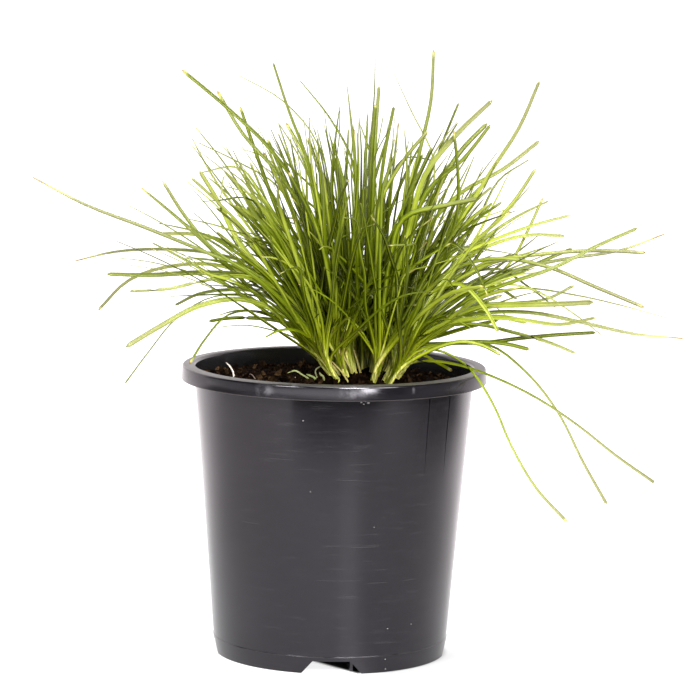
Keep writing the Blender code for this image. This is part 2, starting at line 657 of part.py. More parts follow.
def place_fill_leaf(shoots, shoot_number, slot, heading, lean, placed, obstacles, chance):
    """Draws a blade in the thick of the clump until it stands clear."""
    shoot = shoots[shoot_number]
    start = slot_start(shoot, slot)
    for attempt in range(TRIES):
        turned_heading = heading + chance.uniform(-1, 1) * 0.012 * attempt
        turned_lean = lean * (1 + chance.uniform(-1, 1) * 0.006 * attempt)
        bend = math.radians(chance.uniform(*FILL_BEND))
        length = chance.uniform(*FILL_LENGTH) * MM * (1 - 0.4 * attempt / TRIES)
        points = arching_points(list(start), turned_heading, turned_lean, bend, length)
        path = smooth_path(points, FILL_STOPS)
        width = chance.choice((FINE, FULL, FULL, WIDE)) * MM
        roll = math.radians(chance.uniform(-50, 50))
        twist = math.radians(chance.uniform(-40, 40))
        leaf = Leaf(shoot_number, slot, path, FILL_STOPS, width, shoot.across, roll, twist)
        if in_the_dome(path) and stands_clear(leaf, placed, obstacles):
            return leaf
    return None


def grow_clump(shoots, obstacles, chance):
    """Places every leaf: the ones of the table first, then the filling ones."""
    placed = []
    for wanted in ("table", "fill"):
        for number, shoot in enumerate(shoots):
            for slot, (_, row, heading, lean) in enumerate(shoot.leaves):
                if wanted == "table" and row is not None:
                    leaf = place_table_leaf(shoots, number, slot, row, placed, obstacles, chance)
                elif wanted == "fill" and row is None:
                    leaf = place_fill_leaf(shoots, number, slot, heading, lean, placed, obstacles,
                                           chance)
                else:
                    continue
                if leaf:
                    placed.append((leaf, blade_tree(leaf, SWELL), blade_tree(leaf, SIBLING_SWELL)))
    return [leaf for leaf, _, _ in placed]


# ---------------------------------------------------------------- shoots

def nearest_order(ring, section):
    """The ring's corners in the order in which a section's corners follow on from them."""
    middle = sum((vert.co for vert in ring), Vector()) / 3
    centre = sum(section, Vector()) / 3
    facing = (section[1] - section[0]).cross(section[2] - section[0])

    def travel(corners):
        normal = (corners[1].co - corners[0].co).cross(corners[2].co - corners[0].co)
        way = sum((vert.co - middle - corner + centre).length for corner, vert in zip(section, corners))
        return (facing.dot(normal) < 0, way)

    return min(permutations(ring), key=travel)


def grow_blade(mesh, ring, leaf):
    """Carries three corners of the collar along a leaf to its tip."""
    sections = blade_sections(leaf)
    ring = nearest_order(ring, sections[0])
    for section in sections[:-1]:
        ends = (ring, [mesh.verts.new(corner) for corner in section])
        for face in tube_faces([vert.co for vert in ring], section):
            mesh.faces.new([ends[end][corner] for end, corner in face])
        ring = ends[1]
    tip = mesh.verts.new(leaf.path[-1])
    for a, b in ((0, 1), (1, 2), (2, 0)):
        mesh.faces.new((ring[a], ring[b], tip))


def make_shoot(number, shoot, leaves, green):
    """One shoot: a flat foot set in the mix, which opens at its collar into a fan of leaves."""
    mesh = bmesh.new()
    foot = [mesh.verts.new(corner) for corner in sheath_corners(shoot, shoot.soil - SET_DEPTH)]
    collar = [mesh.verts.new(corner) for corner in sheath_corners(shoot, shoot.soil + COLLAR_HEIGHT)]
    low, high = round_the_strip(foot), round_the_strip(collar)
    for a, b, c, d in zip(low, high, high[1:] + high[:1], low[1:] + low[:1]):
        mesh.faces.new((a, b, c, d))
    grown = {leaf.slot: leaf for leaf in leaves}
    for slot in range(len(shoot.leaves)):
        mesh.faces.new(foot[slot:slot + 3])
        if slot in grown:
            grow_blade(mesh, collar[slot:slot + 3], grown[slot])
        else:
            mesh.faces.new(collar[slot:slot + 3])
    return place(f"shoot_{number + 1:02d}", mesh, green)


def build():
    clear_scene()
    chance = random.Random(FILL_SEED)
    pot_shape = turned(pot_profile(), POT_SIDES)
    mix_shape = soil_mesh()
    obstacles = [BVHTree.FromBMesh(pot_shape), BVHTree.FromBMesh(mix_shape)]
    pot_shape.free()
    mix_shape.free()
    shoots = plan_shoots(chance)
    leaves = grow_clump(shoots, obstacles, chance)
    make_pot()
    make_potting_mix(shoots)
    green = plastic_or_plant("leaf_green", (0.18, 0.28, 0.035), 0.5)
    for number, shoot in enumerate(shoots):
        make_shoot(number, shoot, [leaf for leaf in leaves if leaf.shoot == number], green)


build()
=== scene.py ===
"""Looks of a clump of ornamental grass in its nursery pot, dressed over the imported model.

Metres, +Z up, the pot standing on Z = 0 with its axis on Z and its front looking along -Y.
"""

import math
import random

import bmesh
import bpy
from mathutils import Euler, Matrix, Vector, noise


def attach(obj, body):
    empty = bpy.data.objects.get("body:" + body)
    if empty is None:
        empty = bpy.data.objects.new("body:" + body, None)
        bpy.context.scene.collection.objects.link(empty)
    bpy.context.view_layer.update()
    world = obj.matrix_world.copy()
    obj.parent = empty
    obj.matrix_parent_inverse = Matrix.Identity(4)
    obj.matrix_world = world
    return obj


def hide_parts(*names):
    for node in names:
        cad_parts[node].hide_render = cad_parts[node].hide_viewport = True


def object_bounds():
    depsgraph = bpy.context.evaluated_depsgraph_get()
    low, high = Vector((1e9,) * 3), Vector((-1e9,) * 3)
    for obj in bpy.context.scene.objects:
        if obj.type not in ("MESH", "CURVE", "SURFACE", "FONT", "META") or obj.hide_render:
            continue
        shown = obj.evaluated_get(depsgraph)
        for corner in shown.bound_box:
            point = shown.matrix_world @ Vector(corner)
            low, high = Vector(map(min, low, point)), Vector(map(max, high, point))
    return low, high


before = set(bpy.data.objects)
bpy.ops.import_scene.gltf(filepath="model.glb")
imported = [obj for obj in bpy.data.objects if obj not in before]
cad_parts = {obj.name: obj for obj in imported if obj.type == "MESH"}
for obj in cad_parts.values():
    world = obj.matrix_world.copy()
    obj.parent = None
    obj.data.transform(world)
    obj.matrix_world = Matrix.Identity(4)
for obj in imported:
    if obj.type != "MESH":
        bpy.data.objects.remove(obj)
cad_box = [list(corner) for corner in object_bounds()]


# ---------------------------------------------------------------- the pot
# A nursery pot of the common 200 mm size, moulded in one piece from black plastic. Its thin wall
# tapers down to a foot with four drainage notches, and its rim turns over into a short skirt.

MM = 0.001
POT_SIDES = 240
POT_WALL_STEP = 6                # longest run of the outline without a point, in mm
CORNER_STEPS = 4
SHARPEST_ROUND = math.radians(38)       # edges that turn by more than this stay crisp
# Radius, height and rounding of the corners in mm: from the middle of the underside outwards, up
# the wall, over the rim, and down the inside to the middle of the floor
POT_CORNERS = (
    (0, 0, 0), (40, 0, 0.5), (40.7, 8, 0.8), (74, 8, 0.6), (74.7, 0, 0.15), (75.9, 0, 0.5),
    (77.15, 11.1, 0.15), (76.85, 11.5, 0.1), (91.7, 187.4, 0.8), (97.9, 187.4, 0.8),
    (98.7, 180.3, 0.2), (100, 180.3, 0.25), (99.4, 189.5, 1.3),
    (92.2, 190, 0.8), (90.6, 188.6, 0.5), (75.5, 9.5, 1.5), (39.2, 9.5, 1.2), (38.5, 1.5, 1),
    (0, 1.5, 0),
)
POT_WARP = 0.22 * MM             # how far the wall strays from a true cone
WALL_TAPER = 0.0844              # how much wider the wall gets to its height
NOTCH_TURNS = [math.radians(-88.7 + 90 * number) for number in range(4)]
NOTCH_OUTLINE = ((-20.3, -1), (20.3, -1), (12.2, 8.5), (-12.2, 8.5))
NOTCH_REACH = (68, 84)           # radii in mm between which the notches pass through the foot
RIB_TURNS = [math.radians(-78 + 90 * number) for number in range(4)]
RIB_PLACE, RIB_SIZE = (56.7, 0, 4.75), (34.8, 1.8, 8.5)      # in mm, for a rib along +X
HOLE_TURNS = [math.radians(-78 + 45 * (number + 0.5)) for number in range(8)]
HOLE_CIRCLE, HOLE_HEIGHT, HOLE_RADIUS = 58, 8.75, 5     # in mm
SEAM_TURNS = [math.radians(turn - 90) for turn in (42.6, 55.4)]
SEAM_WIDTH, SEAM_DEPTH, SEAM_LENGTH = 1.0, 0.7, 66      # of the two seams under the rim, in mm
SEAM_TOP = (91.25, 0, 182)       # the wall's face at the head of a seam, in mm
SEAM_SLANT = math.atan2(91.7 - 77.0, 187.4 - 11.5) - 0.011    # the wall's own slant, less a little


def rounded_outline(corners):
    """Points of the pot's outline, its corners rounded and its long runs divided."""
    points = []
    for number, (radius, height, rounding) in enumerate(corners):
        corner = Vector((radius, height))
        if not rounding:
            points.append(corner)
            continue
        before, after = (Vector(corners[number + step][:2]) for step in (-1, 1))
        start = corner + (before - corner).normalized() * rounding
        end = corner + (after - corner).normalized() * rounding
        for step in range(CORNER_STEPS + 1):
            share = step / CORNER_STEPS
            points.append(start.lerp(corner, share).lerp(corner.lerp(end, share), share))
    divided = [points[0]]
    for a, b in zip(points, points[1:]):
        steps = max(1, math.ceil((b - a).length / POT_WALL_STEP))
        divided += [a.lerp(b, (step + 1) / steps) for step in range(steps)]
    return divided


def turned_mesh(outline, sides):
    """A closed mesh of an outline in mm turned about the pot's axis."""
    mesh = bmesh.new()
    points = [mesh.verts.new((point.x * MM, 0, point.y * MM)) for point in outline]
    lines = [mesh.edges.new(pair) for pair in zip(points, points[1:])]
    bmesh.ops.spin(mesh, geom=points + lines, cent=(0, 0, 0), axis=(0, 0, 1),
                   angle=2 * math.pi, steps=sides)
    bmesh.ops.remove_doubles(mesh, verts=mesh.verts, dist=0.005 * MM)
    return mesh


def set_out(name, mesh):
    """Makes a named piece of a bmesh, its faces turned outwards."""
    bmesh.ops.recalc_face_normals(mesh, faces=mesh.faces)
    data = bpy.data.meshes.new(name)
    mesh.to_mesh(data)
    mesh.free()
    piece = bpy.data.objects.new(name, data)
    bpy.context.scene.collection.objects.link(piece)
    return piece


def wedges_and_ribs():
    """The notches, drain holes and seams to cut from the pot, and the ribs under its floor."""
    notches, holes, ribs, seams = bmesh.new(), bmesh.new(), bmesh.new(), bmesh.new()
    for turn in NOTCH_TURNS:
        spin = Matrix.Rotation(turn, 3, "Z")
        inner, outer = ([notches.verts.new(spin @ Vector((radius, side, height)) * MM)
                         for side, height in NOTCH_OUTLINE] for radius in NOTCH_REACH)
        notches.faces.new(inner)
        notches.faces.new(outer)
        for corner in range(4):
            after = (corner + 1) % 4
            notches.faces.new((inner[corner], outer[corner], outer[after], inner[after]))
    for turn in HOLE_TURNS:
        x, y = HOLE_CIRCLE * math.cos(turn), HOLE_CIRCLE * math.sin(turn)
        bmesh.ops.create_cone(holes, cap_ends=True, segments=32, radius1=HOLE_RADIUS * MM,
                              radius2=HOLE_RADIUS * MM, depth=6 * MM,
                              matrix=Matrix.Translation(Vector((x, y, HOLE_HEIGHT)) * MM))
    for turn in RIB_TURNS:
        move = Matrix.Translation(Vector(RIB_PLACE) * MM)
        size = Matrix.Diagonal((*(side * MM for side in RIB_SIZE), 1))
        bmesh.ops.create_cube(ribs, size=1, matrix=Matrix.Rotation(turn, 4, "Z") @ move @ size)
    for turn in SEAM_TURNS:
        # each seam is deepest under the rim and runs out of the wall lower down
        place = Matrix.Translation(Vector(SEAM_TOP) * MM) @ Matrix.Rotation(SEAM_SLANT, 4, "Y")
        hang = Matrix.Translation(Vector((1 - SEAM_DEPTH, 0, -30)) * MM)
        size = Matrix.Diagonal((2 * MM, SEAM_WIDTH * MM, SEAM_LENGTH * MM, 1))
        bmesh.ops.create_cube(seams, size=1,
                              matrix=Matrix.Rotation(turn, 4, "Z") @ place @ hang @ size)
    return (("UNION", set_out("rib_tool", ribs)),
            ("DIFFERENCE", set_out("notch_tool", notches)),
            ("DIFFERENCE", set_out("hole_tool", holes)),
            ("DIFFERENCE", set_out("seam_tool", seams)))


def worked(piece, tools):
    """Cuts the tools out of a piece, or joins them on, for good."""
    for operation, tool in tools:
        boolean = piece.modifiers.new(tool.name, "BOOLEAN")
        boolean.operation = operation
        boolean.object = tool
    depsgraph = bpy.context.evaluated_depsgraph_get()
    finished = bpy.data.meshes.new_from_object(piece.evaluated_get(depsgraph))
    piece.modifiers.clear()
    rough = piece.data
    piece.data = finished
    bpy.data.meshes.remove(rough)
    for _, tool in tools:
        bpy.data.objects.remove(tool)
    return piece


pot = worked(set_out("pot_shell", turned_mesh(rounded_outline(POT_CORNERS), POT_SIDES)),
             wedges_and_ribs())
for point in pot.data.vertices:
    level = point.co.z
    if level > 12 * MM:
        stray = noise.noise(point.co / (70 * MM)) + 0.35 * noise.noise(point.co / (24 * MM))
        point.co.xy += point.co.xy.normalized() * stray * POT_WARP
pot.data.shade_smooth()
pot.data.set_sharp_from_angle(angle=SHARPEST_ROUND)


def material(name):
    """A new material, given as the material, its node tree and its Principled shader."""
    made = bpy.data.materials.new(name)
    made.use_nodes = True
    return made, made.node_tree, made.node_tree.nodes["Principled BSDF"]


def feed(node, inputs):
    """Joins or sets inputs of a node; a colour is given as red, green and blue."""
    for name, value in inputs.items():
        socket = node.inputs[name]
        if isinstance(value, bpy.types.NodeSocket):
            node.id_data.links.new(value, socket)
        else:
            socket.default_value = (*value, 1) if socket.type == "RGBA" else value


def add_node(kind, inputs, tree=None, **settings):
    """A new node of a kind, fed with its inputs, in a node tree or in that of its inputs."""
    if tree is None:
        tree = next(value.id_data for value in inputs.values()
                    if isinstance(value, bpy.types.NodeSocket))
    made = tree.nodes.new("ShaderNode" + kind)
    for name, value in settings.items():
        setattr(made, name, value)
    feed(made, inputs)
    return made


def maths(operation, *values):
    """The result of a Math node."""
    return add_node("Math", dict(enumerate(values)), operation=operation).outputs[0]


def product(first, second):
    """Two values multiplied."""
    return maths("MULTIPLY", first, second)


def apart(first, second):
    """How far apart two values are."""
    return maths("ABSOLUTE", maths("SUBTRACT", first, second))


def eased(value, low, high, start=0.0, end=1.0):
    """Carries a value from low..high over to start..end, eased in and out and held beyond."""
    ends = {"Value": value, "From Min": low, "From Max": high, "To Min": start, "To Max": end}
    return add_node("MapRange", ends, interpolation_type="SMOOTHSTEP").outputs[0]


def fine_noise(place, scale, detail=4, roughness=0.55, distortion=0.0):
    """The height of a noise at a place."""
    ends = {"Vector": place, "Scale": scale, "Detail": detail, "Roughness": roughness,
            "Distortion": distortion}
    return add_node("TexNoise", ends).outputs["Fac"]


def coated(colour, *coats):
    """A colour with coats over it, each given as its share and its colour."""
    for share, coat in coats:
        mix = add_node("Mix", {0: share, 6: colour, 7: coat}, data_type="RGBA")
        colour = mix.outputs[2]
    return colour


# Marks on the wall: turn from the front in degrees and height in mm of the middle, then half the
# turn and half the height that the mark covers
SCRATCHES = (
    (8, 128, 5.5, 0.25), (15, 84, 8.0, 0.28), (22, 60, 6.0, 0.22), (39, 60, 5.0, 0.22),
    (11, 138, 6.0, 0.2), (-22, 140, 9, 0.2), (4, 62, 14, 0.16), (-38, 96, 7, 0.2),
    (31, 178.6, 4.0, 0.45), (120, 90, 9, 0.25), (200, 120, 8, 0.25), (250, 70, 12, 0.22),
    (160, 45, 6, 0.3),
)
SPECKS = (
    (11.3, 178.4, 0.5, 0.6), (13.0, 179.0, 0.4, 0.5), (14.2, 178.0, 0.7, 0.8),
    (12.3, 177.2, 0.4, 0.4), (-12, 166, 0.35, 0.4), (28.5, 29, 0.3, 0.35), (28, 8.7, 0.35, 0.4),
    (28.6, 2.2, 0.4, 0.4), (42, 30, 0.3, 0.3), (-9, 120, 0.25, 0.3), (19, 97, 0.25, 0.3),
    (150, 100, 0.4, 0.4), (215, 150, 0.4, 0.5),
)
# scuffs on the rim, where those at the front also stand in for a painted reflection of the lights
RIM_SCUFFS_AND_REFLECTIONS = (
    (-14.4, 189.3, 1.8, 1.0), (8.3, 189.4, 6.4, 0.7), (-25.5, 185, 5.0, 5.5),
    (7.0, 185.3, 6.5, 4.5), (30.5, 186, 0.9, 3.0), (95, 185, 5, 4), (170, 186, 8, 4),
    (255, 185, 6, 5),
)
# Red, green and blue of the plastic, and of what marks it, painted highlights and reflections too
DEEP_BLACK, GREYER_BLACK = (0.0036, 0.0031, 0.0042), (0.0058, 0.0050, 0.0066)
WIPED_DUST, RIM_DUST_AND_HIGHLIGHT = (0.070, 0.067, 0.072), (0.075, 0.067, 0.062)
DRIED_MIX = (0.0125, 0.0120, 0.0125)
SCUFF_AND_REFLECTION_GREY, SCRATCHED, SPECKED = (0.115, 0.110, 0.120), (0.30, 0.28, 0.29), (0.45, 0.43, 0.42)
SKIRT_WEAR_AND_HIGHLIGHT, WORN_FOOT = (0.22, 0.195, 0.185), (0.12, 0.115, 0.12)


def marks(turn, height, table, core=0.4):
    """One in the core of any mark of a table, down to nought at its edges and elsewhere."""
    total = 0.0
    for mark_turn, mark_height, half_turn, half_height in table:
        aside, above = apart(turn, mark_turn), apart(height, mark_height)
        sides = eased(aside, half_turn * core, half_turn, 1.0, 0.0)
        ends = eased(above, half_height * core, half_height, 1.0, 0.0)
        total = maths("MAXIMUM", product(sides, ends), total)
    return total


def black_plastic():
    """Black moulded plastic: satin, a little dusty, with flow lines, scuffs and scratches, and
    painted highlights and reflections.
    """
    plastic, tree, shader = material("black_plastic")
    place = add_node("TexCoord", {}, tree).outputs["Object"]
    parts = add_node("SeparateXYZ", {"Vector": place})
    back = product(parts.outputs["Y"], -1.0)
    turn = maths("DEGREES", maths("ARCTAN2", parts.outputs["X"], back))
    height = maths("DIVIDE", parts.outputs["Z"], MM)
    flat = add_node("CombineXYZ", {"X": parts.outputs["X"], "Y": parts.outputs["Y"]})
    radius = add_node("VectorMath", {0: flat.outputs[0]}, operation="LENGTH").outputs["Value"]
    cloud = fine_noise(place, 14, 5, 0.6)
    haze = fine_noise(place, 55, 6, 0.65, 0.4)
    grain = fine_noise(place, 900, 2)
    # dust lies in faint level wipes round the wall
    wipe_place = add_node("Mapping", {"Vector": place, "Scale": (1, 1, 14)}).outputs["Vector"]
    wipes = fine_noise(wipe_place, 40, 5, 0.7)
    # the rim's top is dusty and painted light as a highlight; the skirt's and foot's edges are worn
    dust_and_highlight = eased(height, 189.3, 189.6, 0.0, 0.55)
    # the skirt's worn edge is also painted light, as a painted highlight
    skirt_edge = product(eased(radius, 98.4 * MM, 98.6 * MM),
                         eased(height, 180.5, 181.1, 0.12, 0.0))
    foot_edge = product(eased(apart(height, 11.2), 0.15, 0.5, 0.15, 0.0),
                        eased(haze, 0.35, 0.6, 0.2, 1.0))
    # inside, dried mix has dulled the wall above the crust
    inset = maths("SUBTRACT", maths("DIVIDE", radius, MM), product(height, WALL_TAPER))
    inside = product(eased(inset, 75.1, 75.5, 1.0, 0.0), eased(height, 150, 170))
    # scuffs on the rim, at its front also a painted reflection, broken into patches
    mark_patches = fine_noise(place, 170, 4, 0.6)
    scuffs_and_reflections = product(marks(turn, height, RIM_SCUFFS_AND_REFLECTIONS, 0.0), eased(mark_patches, 0.38, 0.62, 0.12, 0.75))
    scratches = marks(turn, height, SCRATCHES)
    specks = marks(turn, height, SPECKS)
    colour = coated(
        DEEP_BLACK,
        (eased(cloud, 0.35, 0.7), GREYER_BLACK),
        (eased(wipes, 0.52, 0.76, 0.0, 0.16), WIPED_DUST),
        (inside, DRIED_MIX),
        (scuffs_and_reflections, SCUFF_AND_REFLECTION_GREY),
        (product(scratches, 0.06), SCRATCHED),
        (product(specks, 0.55), SPECKED),
        (dust_and_highlight, RIM_DUST_AND_HIGHLIGHT), (skirt_edge, SKIRT_WEAR_AND_HIGHLIGHT), (foot_edge, WORN_FOOT))
    rough = maths("ADD", eased(cloud, 0.3, 0.7, 0.12, 0.17), product(wipes, 0.05))
    relief = maths("ADD", product(grain, 0.35), maths("ADD", product(haze, 0.2), scratches))
    bump = add_node("Bump", {"Height": relief, "Strength": 0.06, "Distance": 0.2 * MM})
    feed(shader, {"Base Color": colour, "IOR": 1.47, "Specular Tint": (0.97, 0.93, 1.0),
                  "Roughness": maths("ADD", rough, product(dust_and_highlight, 0.4)),
                  "Normal": bump.outputs["Normal"]})
    return plastic


pot.data.materials.append(black_plastic())
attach(pot, "root")
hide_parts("pot")


# ---------------------------------------------------------------- the potting mix
# Damp composted bark, nearly black, that fills the pot to just under the rim and is heaped a
# little round the clump. Its crust is crumbs and slivers of bark with a few grains of perlite.

MIX_SIDES = 300
MIX_RINGS = 110
MIX_RADIUS = 89 * MM
MIX_FOOT = (75.2 * MM, 9.9 * MM)
MIX_LEVEL = 177.5 * MM           # in the middle of the pot; it lies a little higher at the left
SLOPE_LEFT = 0.02
CROWN = Vector((19, 0)) * MM     # middle of the clump
LUMP = Vector((-66, 22)) * MM    # a heap by the left wall
# Height and spread of the mix heaped round the clump, and of the lump
MOUND, HEAP = (8.5 * MM, 30 * MM), (3 * MM, 12 * MM)
DARKENING_SPREAD = 34 * MM             # how far round the clump the mix is darker


def mix_level(x, y):
    """Height of the mix before its crumbs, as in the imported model."""
    spot = Vector((x, y))
    level = MIX_LEVEL - SLOPE_LEFT * x
    for middle, (height, spread) in ((CROWN, MOUND), (LUMP, HEAP)):
        level += height * math.exp(-(spot - middle).length_squared / (2 * spread ** 2))
    return level + 1.1 * MM * noise.noise(Vector((x, y, 0)) / (16 * MM))


def crust_level(x, y):
    """Height of the mix with its clods."""
    spot = Vector((x, y, 0))
    clods = noise.fractal(spot / (9 * MM), 0.9, 2.1, 5)
    pits = abs(noise.noise(spot / (5 * MM) + Vector((7, 3, 1))))
    return mix_level(x, y) + (1.3 * clods - 1.6 * pits + 0.3) * MM


def mix_body():
    """The plug of mix: its crust, then its side and underside."""
    mesh = bmesh.new()
    turns = [2 * math.pi * side / MIX_SIDES for side in range(MIX_SIDES)]
    radii = [MIX_RADIUS * (number / MIX_RINGS) ** 0.8 for number in range(1, MIX_RINGS + 1)]
    rings = []
    for radius in radii:
        spots = [(radius * math.cos(turn), radius * math.sin(turn)) for turn in turns]
        rings.append([mesh.verts.new((x, y, crust_level(x, y))) for x, y in spots])
    foot_radius, foot_height = MIX_FOOT
    rings.append([mesh.verts.new((foot_radius * math.cos(turn), foot_radius * math.sin(turn),
                                  foot_height)) for turn in turns])
    middle = mesh.verts.new((0, 0, crust_level(0, 0)))
    for inner, outer in zip(rings, rings[1:]):
        for side in range(MIX_SIDES):
            after = (side + 1) % MIX_SIDES
            mesh.faces.new((inner[side], outer[side], outer[after], inner[after]))
    for side in range(MIX_SIDES):
        mesh.faces.new((middle, rings[0][side], rings[0][(side + 1) % MIX_SIDES]))
    mesh.faces.new(rings[-1])
    return mesh


BLACK_PORES = (0.002, 0.001, 0.0006)


def damp_bark(name, low, middle, high):
    """Damp bark in three browns, picked by each bit's own tone."""
    bark, tree, shader = material(name)
    place = add_node("TexCoord", {}, tree).outputs["Object"]
    tone = add_node("Attribute", {}, tree, attribute_name="tone").outputs["Fac"]
    grain = fine_noise(place, 700, 4, 0.65)
    patches = fine_noise(place, 120, 4, 0.6)
    shade = maths("ADD", tone, product(maths("SUBTRACT", patches, 0.5), 0.9))
    colour = coated(low, (eased(shade, 0.15, 0.62), middle),
                    (eased(shade, 0.62, 1.05), high),
                    (eased(grain, 0.35, 0.62, 0.6, 0.0), BLACK_PORES))
    bump = add_node("Bump", {"Height": grain, "Strength": 0.7, "Distance": 0.5 * MM})
    feed(shader, {"Base Color": colour, "Specular IOR Level": 0.04, "IOR": 1.2,
                  "Roughness": eased(patches, 0.3, 0.7, 0.7, 0.95),
                  "Normal": bump.outputs["Normal"]})
    return bark


def mark_points(piece, name, values):
    """Writes a number to each point of a piece, for its material to read."""
    piece.data.attributes.new(name, "FLOAT", "POINT").data.foreach_set("value", values)


mix = set_out("mix_plug", mix_body())


def darkening_at_clump(spot):
    """How much darker the mix is at a spot: most of all at the clump."""
    return math.exp(-(spot - CROWN).length_squared / DARKENING_SPREAD ** 2)


mark_points(mix, "tone", [
    0.32 + 0.3 * noise.noise(point.co / (6 * MM)) - 0.35 * darkening_at_clump(point.co.xy)
    for point in mix.data.vertices])
mix.data.shade_smooth()
mix.data.materials.append(damp_bark("damp_mix", (0.0022, 0.0010, 0.0005), (0.0100, 0.0050, 0.0022),
                                    (0.030, 0.016, 0.008)))
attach(mix, "root")
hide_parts("potting_mix")


def crumb(chance, size, stretch, fineness):
    """Corners and faces of one angular bit: a crumpled ball, stretched along one way."""
    ball = bmesh.new()
    bmesh.ops.create_icosphere(ball, subdivisions=fineness, radius=1)
    seed = Vector([chance.uniform(-50, 50) for _ in range(3)])
    turn = Euler([chance.uniform(0, math.tau) for _ in range(3)]).to_matrix()
    for vert in ball.verts:
        lumps = 0.55 * noise.noise(vert.co * 1.3 + seed)
        shape = vert.co * (1 + lumps + 0.25 * noise.noise(vert.co * 3.1 + seed))
        vert.co = turn @ Vector((shape.x * stretch, shape.y, shape.z * 0.55)) * size
    return ball


def laid(mesh, bit, lift):
    """Puts a bit into a mesh at its place, and gives the bit's corners there."""
    corners = [mesh.verts.new(vert.co + lift) for vert in bit.verts]
    for face in bit.faces:
        mesh.faces.new([corners[vert.index] for vert in face.verts])
    bit.free()
    return corners


def scattered(name, chance, count, sizes, stretches, fineness, sink, tones, reach=86 * MM):
    """One piece made of many bits strewn over the mix, each with its tone."""
    strewn = bmesh.new()
    tone_layer = strewn.verts.layers.float.new("tone")
    for _ in range(count):
        radius = reach * math.sqrt(chance.random())
        turn = chance.uniform(0, math.tau)
        x, y = radius * math.cos(turn), radius * math.sin(turn)
        size = sizes[0] * (sizes[1] / sizes[0]) ** (chance.random() ** 1.7) * MM / 2
        bit = crumb(chance, size, chance.uniform(*stretches), fineness)
        tone = 0.93 * chance.uniform(*tones) * (1 - 0.6 * darkening_at_clump(Vector((x, y))))
        for corner in laid(strewn, bit, Vector((x, y, crust_level(x, y) + size * sink))):
            corner[tone_layer] = tone
    return set_out(name, strewn)


strewing = random.Random(31)
# Count, sizes in mm, stretch, fineness, how far the bits sit up out of the crust, and their tones
BARK_BITS = (
    ("bark_crumbs", 2600, (0.9, 3.0), (1.0, 1.8), 1, 0.1, (0.0, 1.0)),
    ("bark_chips", 360, (2.4, 5.2), (1.2, 2.8), 2, 0.02, (0.1, 1.15)),
)
bark_finish = damp_bark("damp_bark_chips", (0.0026, 0.0012, 0.0006), (0.0170, 0.0092, 0.0042),
                        (0.076, 0.044, 0.021))
for name, count, sizes, stretches, fineness, sink, tones in BARK_BITS:
    bits = scattered(name, strewing, count, sizes, stretches, fineness, sink, tones)
    bits.data.materials.append(bark_finish)
    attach(bits, "root")


# ---------------------------------------------------------------- loose bits on the mix
# Grains of perlite from the mix, and the few strands that lie or stand on it: a white root that
# has grown out by the wall, a dry twig, and short pale shoots that have sprouted beside the clump.

# Place (x, y) and size in mm
PERLITE_GRAINS = ((16, 26, 1.9), (25, 56, 1.7), (-26, -3, 2.0), (22, 20, 1.1), (52, -38, 1.3),
                  (-60, 30, 1.0))


def plain_finish(name, colour, roughness):
    """A finish of one colour, faintly mottled."""
    finish, tree, shader = material(name)
    place = add_node("TexCoord", {}, tree).outputs["Object"]
    mottle = eased(fine_noise(place, 600, 3), 0.35, 0.65)
    mottled = coated(tuple(0.72 * part for part in colour), (mottle, colour))
    feed(shader, {"Base Color": mottled, "Roughness": roughness})
    return finish


grains = bmesh.new()
for x, y, size in PERLITE_GRAINS:
    grain = crumb(strewing, size * MM / 2, 1.2, 2)
    laid(grains, grain, Vector((x * MM, y * MM, crust_level(x * MM, y * MM) + 0.35 * size * MM)))
perlite = set_out("perlite_grains", grains)
perlite.data.materials.append(plain_finish("perlite", (0.78, 0.76, 0.72), 0.9))
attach(perlite, "root")

# Name, red, green and blue, thickness in mm, and the way it takes: x, y and height over the mix
STRANDS = (
    ("white_root", (0.70, 0.62, 0.54), 1.05,
     ((-65, -12, -3), (-65.2, -12, 2.5), (-66.2, -11, 6.5), (-68, -10, 9.5), (-70.6, -9, 11.8))),
    ("dry_twig", (0.19, 0.12, 0.08), 0.65,
     ((-57, 12, 0.9), (-54, 4, 1.3), (-50, -12, 0.9), (-47, -24, 0.8))),
    ("pale_sprout_1", (0.31, 0.34, 0.13), 1.15,
     ((-14, -20, -1), (-16.5, -16, 1.6), (-21, -12, 4.2), (-25.5, -10, 5.6), (-30.5, -9, 5.4))),
    ("pale_sprout_2", (0.19, 0.20, 0.08), 0.9,
     ((-10, -22, -1), (-11.5, -22, 4), (-12, -22, 7.5), (-9.5, -22, 9.4), (-6.5, -22, 9.8))),
    ("pale_sprout_3", (0.16, 0.20, 0.05), 1.5,
     ((-11, -23, -1), (-12.5, -23, 2.5), (-15, -23, 4.2), (-18, -23, 4.4))),
    ("pale_sprout_4", (0.20, 0.22, 0.07), 1.4,
     ((-6, -24, -1), (-7, -24, 3), (-8.6, -24, 5), (-9.6, -24, 6.2))),
    ("brown_stub", (0.20, 0.085, 0.03), 1.8,
     ((46, 28, -2), (46.5, 28, 4.5), (47.5, 28, 8.5))),
)


def curve_through(points, steps):
    """A smooth curve through points, with so many steps between each two."""
    ends = [2 * points[0] - points[1], *points, 2 * points[-1] - points[-2]]
    curve = [points[0]]
    for before, start, end, after in zip(ends, ends[1:], ends[2:], ends[3:]):
        reach = (end - start).length / 3
        leave = start + (end - before).normalized() * reach
        arrive = end - (after - start).normalized() * reach
        for step in range(1, steps + 1):
            t = step / steps
            s = 1 - t
            curve.append(start * s ** 3 + leave * 3 * s * s * t
                         + arrive * 3 * s * t * t + end * t ** 3)
    return curve


STRAND_SIDES = 10


def join_rings(mesh, rings):
    """Faces between each ring of corners and the next."""
    for low, high in zip(rings, rings[1:]):
        for corner in range(len(low)):
            after = (corner + 1) % len(low)
            mesh.faces.new((low[corner], low[after], high[after], high[corner]))


